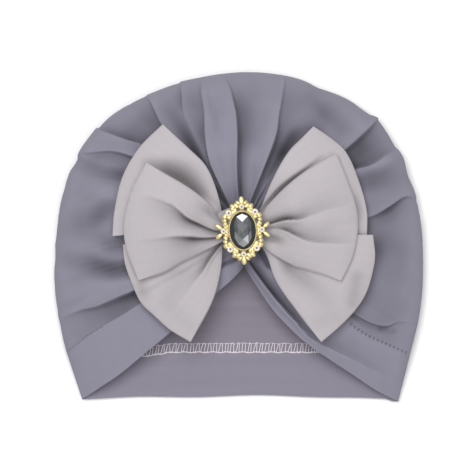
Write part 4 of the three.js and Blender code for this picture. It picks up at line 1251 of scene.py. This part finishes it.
def build_oval_stone(colours):
    """The oval stone, each facet with its own painted reflection."""
    points, faces, kinds = cut_surface(
        6.1, 8.8, sides=6, girdle=2.3, top=4.4, table_share=0.47, step=OVAL_STEP)
    points = on_plate(points + np.array([0, 0, OVAL_FOOT]))
    facet = np.array([OVAL_REFLECTIONS[kind] for kind in kinds])
    finish = stone_finish("smoked_stone", colours.stone_dark, colours.stone_reflection)
    oval = make_piece("oval_stone_cut", points, faces, finish,
                      values={"facet": facet}, flat=True)
    fix_normals(oval)
    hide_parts("oval_stone")


def build_small_stones(colours):
    """The eight small stones as one piece."""
    every, all_faces, reflections, count = [], [], [], 0
    for x, y, radius in zip(*SMALL_STONES.values()):
        points, faces, kinds = cut_surface(
            radius, radius, sides=6, girdle=0.5, top=1.1, table_share=0.42, step=(0.86, 0.7))
        every.append(points + np.array([x, y, SMALL_FOOT]))
        all_faces += [[corner + count for corner in face] for face in faces]
        reflections += [small_reflection(kind) for kind in kinds]
        count += len(points)
    # The small stones' faces get painted reflections, from CLEAR_DARK to the reflection colour.
    finish = stone_finish("clear_stone", CLEAR_DARK, colours.clear_stone)
    points = on_plate(np.concatenate(every))
    small = make_piece("small_stones_cut", points, all_faces, finish,
                       values={"facet": np.array(reflections)}, flat=True)
    fix_normals(small)
    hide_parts(*[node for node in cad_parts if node.startswith("small_stone_")])


def tube(path, radius, sides=6):
    """A thread: a circle carried along a path, on the path's own side and upward directions.

    It closes to nearly a point at both ends.
    """
    ahead = np.gradient(path, axis=0)
    ahead /= np.linalg.norm(ahead, axis=1)[:, None]
    side = np.cross(ahead, [0, 0, 1.0])
    side /= np.maximum(np.linalg.norm(side, axis=1), 1e-6)[:, None]
    up = np.cross(side, ahead)
    angle = angles(sides)
    ring = np.cos(angle)[None, :, None] * side[:, None] + np.sin(angle)[None, :, None] * up[:, None]
    size = np.full(len(path), radius)
    size[0] = size[-1] = radius * 0.02
    return path[:, None] + ring * size[:, None, None]


# Where the loops across the seam and the two threads along it start and end, from left to right
OVERLOCK_ENDS = (-46.6, 38)
THREAD_ENDS = (-48, 39)


def build_overlock(sizes, colours):
    """The overlock inside the back: a thread up and down across the seam, and two along it.

    All three are a little uneven, by chance amounts. The seam dips towards its left end.
    """
    cast = Casting()
    chance = np.random.default_rng(7)
    count = sizes.overlock_loops

    def foot(x):
        return BACK_SEAM + 0.3 - 1.9 * smoothstep(-x, 30, 47)

    x = np.repeat(np.linspace(*OVERLOCK_ENDS, count), 2) + np.tile([-0.15, 0.15], count)
    side = np.tile([1.0, -1.0, -1.0, 1.0], count)[: len(x)]
    x = x + chance.normal(0, 0.22, len(x)) + side * 0.3
    y = foot(x) + 2.15 + side * (2.1 + chance.normal(0, 0.25, len(x)))
    height = sizes.crown_wall + 0.2
    corners = np.stack([x, y, np.full(len(x), height)], axis=-1)
    t = np.linspace(0, 1, 4, endpoint=False)
    path = (corners[:-1, None] + (corners[1:] - corners[:-1])[:, None] * t[None, :, None]).reshape(-1, 3)
    path[:, 2] += 0.16 * np.sin(np.linspace(0, len(x) * np.pi, len(path))) ** 2
    cast.add(tube(path, 0.24, 5))
    run = np.linspace(*THREAD_ENDS, 240)
    for lift, radius in ((0.0, 0.34), (4.2, 0.14)):
        line = foot(run) + lift + 0.18 * np.sin(run * 0.9) + chance.normal(0, 0.07, len(run))
        cast.add(tube(np.stack([run, line, 0 * run + height], axis=-1), radius, 5))
    points, faces = cast.everything()
    finish = thread_finish("thread", colours.thread)
    fix_normals(make_piece("overlock_thread", points, faces, finish))


# The side seams' stitches: the shares of the crown where they start and end and how many there are,
# and how far each arm of a pair leans, in radians
LEFT_STITCHES = (0.80, 0.995, 17)
RIGHT_STITCHES = (0.66, 0.97, 15)
STITCH_LEAN = 0.6


def stitch_line(rim, first, last, count):
    """Places just over a side seam between two shares of the crown, and the way ahead at each."""
    place = run_length(rim)
    place /= place[-1]
    first, last = np.interp([first, last], FRONT_SHARES, place)
    for at in np.linspace(first, last, count):
        middle, ahead = (np.array([np.interp(x, place, axis) for axis in rim.T]) for x in (at, at + 0.01))
        ahead = ahead - middle
        yield middle + np.array([0, 0, 0.12]), ahead / np.linalg.norm(ahead)


def build_seam_stitches(sizes, colours):
    """Small dark stitches over the two seams beside the outline: dashes left, pairs like a V right."""
    cast = Casting()
    upper = crown_surface(sizes)[0][: len(FRONT_SHARES)]
    dash, arm = np.linspace(-0.36, 0.36, 5)[:, None], np.linspace(0, 1.25, 5)[:, None]
    for start, ahead in stitch_line(upper[:, -1], *LEFT_STITCHES):
        cast.add(tube(start + ahead * dash, 0.18, 5))
    for start, ahead in stitch_line(upper[:, 0], *RIGHT_STITCHES):
        side = np.array([-ahead[1], ahead[0], 0.0])
        for lean in (-STITCH_LEAN, STITCH_LEAN):
            cast.add(tube(start + (ahead * np.cos(lean) + side * np.sin(lean)) * arm, 0.15, 5))
    points, faces = cast.everything()
    finish = thread_finish("dark_thread", colours.seam_thread)
    fix_normals(make_piece("seam_thread", points, faces, finish))


# Half the table's side and its height, the camera's sensor in millimetres, and the width and middle
# of what it sees of the table, the width in metres and the middle on the plan
FLOOR_SIDE = 3.0
FLOOR_HEIGHT = -0.0004
SENSOR = 36
VIEW_WIDTH = 0.2261
VIEW_MIDDLE = np.array([-1.44, 2.06])


def build_floor(colour):
    """The pale table under the cap."""
    mesh = bpy.data.meshes.new("floor")
    signs = ((-1, -1), (1, -1), (1, 1), (-1, 1))
    corners = [(x * FLOOR_SIDE, y * FLOOR_SIDE, FLOOR_HEIGHT) for x, y in signs]
    mesh.from_pydata(corners, [], [(0, 1, 2, 3)])
    floor = bpy.data.objects.new("floor", mesh)
    bpy.context.scene.collection.objects.link(floor)
    finish = Finish("pale_floor")
    mesh.materials.append(finish.surface(Base_Color=shade(colour, 1), Roughness=0.9, Specular_IOR_Level=0.1))


def build_stage(look):
    """Floor, soft light from above with more from the top of the picture, and a camera straight above."""
    build_floor(look.floor)
    scene = bpy.context.scene
    world = bpy.data.worlds.new("studio")
    scene.world = world
    world.use_nodes = True
    sky = world.node_tree.nodes["Background"].inputs
    sky["Color"].default_value = (1, 1, 1, 1)
    sky["Strength"].default_value = look.ambient
    for name, power, place, size in (
        ("key", look.key_power, (-0.3, 0.5, 1.5), 1.0),
        ("fill", look.fill_power, (0.4, -0.5, 1.5), 1.6),
    ):
        light = bpy.data.lights.new(name, "AREA")
        light.energy, light.size = power, size
        lamp = bpy.data.objects.new(name, light)
        scene.collection.objects.link(lamp)
        lamp.location = place
        lamp.rotation_euler = Vector([-part for part in place]).to_track_quat("-Z", "Y").to_euler()
    camera = bpy.data.cameras.new("camera")
    camera.sensor_width = SENSOR
    camera.lens = SENSOR * look.camera_distance / VIEW_WIDTH
    camera.clip_end = 20
    view = bpy.data.objects.new("camera", camera)
    scene.collection.objects.link(view)
    view.location = (*((VIEW_MIDDLE + SHIFT[:2]) / 1000), look.camera_distance)
    scene.camera = view
    scene.view_settings.view_transform = "Standard"


# The add-on

def colour_property(name, description, default):
    """A colour that the panel shows."""
    return FloatVectorProperty(
        name=name, description=description, default=default, subtype="COLOR", size=3, min=0, max=1)


def number_property(name, description, default, low, high, kind=FloatProperty, unit="NONE"):
    """A number that the panel shows, with its two limits."""
    extra = {} if kind is IntProperty else {"unit": unit}
    return kind(name=name, description=description, default=default, min=low, max=high, **extra)


class CapSizes(bpy.types.PropertyGroup):
    """Walls, folds and counts"""

    crown_wall: number_property("Crown wall", "Thickness of the jersey, in mm", 1.3, 0.5, 3)
    band_wall: number_property("Band wall", "Thickness of the doubled band, in mm", 1.6, 0.5, 3)
    ribbon_wall: number_property("Ribbon wall", "Thickness of the ribbon, in mm", 0.5, 0.3, 2)
    fold_scale: number_property("Depth of folds", "Multiplies every fold of the crown", 1.0, 0, 1.5)
    beads: number_property("Beads", "Beads round the oval stone", 56, 12, 90, IntProperty)
    overlock_loops: number_property("Overlock loops", "Loops inside the back seam", 62, 20, 140, IntProperty)


class CapColours(bpy.types.PropertyGroup):
    """Colours of the cloths, metal, stones and threads"""

    jersey: colour_property("Jersey", "Colour of the crown", (0.221, 0.211, 0.264))
    jersey_band: colour_property("Band", "Colour of the hem band", (0.222, 0.212, 0.266))
    ribbon: colour_property("Ribbon", "Colour of the bow", (0.422, 0.394, 0.412))
    gold: colour_property("Gold", "Colour of the brooch's metal", (0.76, 0.65, 0.34))
    stone_dark: colour_property("Stone, dark", "Darkest facets of the oval stone", (0.02, 0.025, 0.03))
    # The colour of the painted reflections on the oval stone's facets
    stone_reflection: colour_property("Stone, light", "Lightest facets of the oval stone", (0.9, 0.9, 0.92))
    # The colour of the painted reflections on the small stones' facets
    clear_stone: colour_property("Clear stone", "Lightest facets of the small stones", (0.9, 0.88, 0.92))
    thread: colour_property("Thread", "Colour of the overlock", (0.66, 0.61, 0.67))
    seam_thread: colour_property("Seam thread", "Colour of the side seams' stitches", (0.10, 0.09, 0.12))


class CapLook(bpy.types.PropertyGroup):
    """Table, lights and camera"""

    floor: colour_property("Floor", "Colour of the table", (0.93, 0.93, 0.93))
    ambient: number_property("Ambient", "Strength of the light from all round", 0.34, 0, 3)
    key_power: number_property("Key light", "Light from the picture's top", 20, 0, 200, unit="POWER")
    fill_power: number_property("Fill light", "Light from the lower right", 12, 0, 200, unit="POWER")
    camera_distance: number_property("Camera distance", "Camera's height", 4.0, 0.5, 10, unit="LENGTH")


class TurbanCap(bpy.types.PropertyGroup):
    """All that a user can change"""

    sizes: PointerProperty(type=CapSizes)
    colours: PointerProperty(type=CapColours)
    look: PointerProperty(type=CapLook)


class AddCrown(bpy.types.Operator):
    """Add the gathered crown"""
    bl_idname = "turban_cap.crown"
    bl_label = "Crown"

    def execute(self, context):
        cap = context.scene.turban_cap
        piece = build_crown(cap.sizes, cap.colours)
        return {"FINISHED"}


class AddBand(bpy.types.Operator):
    """Add the hem band"""
    bl_idname = "turban_cap.hem_band"
    bl_label = "Hem band"

    def execute(self, context):
        cap = context.scene.turban_cap
        piece = build_band(cap.sizes, cap.colours)
        return {"FINISHED"}


class AddBow(bpy.types.Operator):
    """Add the three looped ribbons and the knot"""
    bl_idname = "turban_cap.bow"
    bl_label = "Bow"

    def execute(self, context):
        cap = context.scene.turban_cap
        finish = knit_finish("ribbon", cap.colours.ribbon, *RIBBON)
        pile = Pile()
        pile.add(crown_surface(cap.sizes)[0])
        for name in RIBBONS:
            piece = build_ribbon(name, cap.sizes, finish, pile)
        knot = build_knot(cap.sizes, finish)
        return {"FINISHED"}


class AddBrooch(bpy.types.Operator):
    """Add the brooch's setting and its stones"""
    bl_idname = "turban_cap.brooch"
    bl_label = "Brooch"

    def execute(self, context):
        cap = context.scene.turban_cap
        build_setting(cap.sizes, cap.colours)
        build_oval_stone(cap.colours)
        build_small_stones(cap.colours)
        return {"FINISHED"}


class AddStitches(bpy.types.Operator):
    """Add the overlock inside the back and the stitches over the side seams"""
    bl_idname = "turban_cap.stitches"
    bl_label = "Stitches"

    def execute(self, context):
        cap = context.scene.turban_cap
        build_overlock(cap.sizes, cap.colours)
        build_seam_stitches(cap.sizes, cap.colours)
        return {"FINISHED"}


class AddStage(bpy.types.Operator):
    """Add the floor, the lights and the camera"""
    bl_idname = "turban_cap.stage"
    bl_label = "Stage"

    def execute(self, context):
        build_stage(context.scene.turban_cap.look)
        return {"FINISHED"}


class CapPanel(bpy.types.Panel):
    """Sizes and colours of the cap, and a button for each of its pieces"""
    bl_label = "Turban cap"
    bl_idname = "VIEW3D_PT_turban_cap"
    bl_space_type = "VIEW_3D"
    bl_region_type = "UI"
    bl_category = "Turban cap"

    def draw(self, context):
        cap = context.scene.turban_cap
        for group in (cap.sizes, cap.colours, cap.look):
            for name in group.__annotations__:
                self.layout.prop(group, name)
        for operator in OPERATORS:
            self.layout.operator(operator.bl_idname)


OPERATORS = (AddStage, AddCrown, AddBand, AddBow, AddBrooch, AddStitches)
CLASSES = (CapSizes, CapColours, CapLook, TurbanCap, *OPERATORS, CapPanel)


def register():
    for made in CLASSES:
        bpy.utils.register_class(made)
    bpy.types.Scene.turban_cap = PointerProperty(type=TurbanCap)


def unregister():
    del bpy.types.Scene.turban_cap
    for made in reversed(CLASSES):
        bpy.utils.unregister_class(made)


def main():
    """Builds the stage and every piece."""
    register()
    bpy.ops.turban_cap.stage()
    bpy.ops.turban_cap.crown()
    bpy.ops.turban_cap.hem_band()
    bpy.ops.turban_cap.bow()
    bpy.ops.turban_cap.brooch()
    bpy.ops.turban_cap.stitches()


if __name__ == "__main__":
    main()
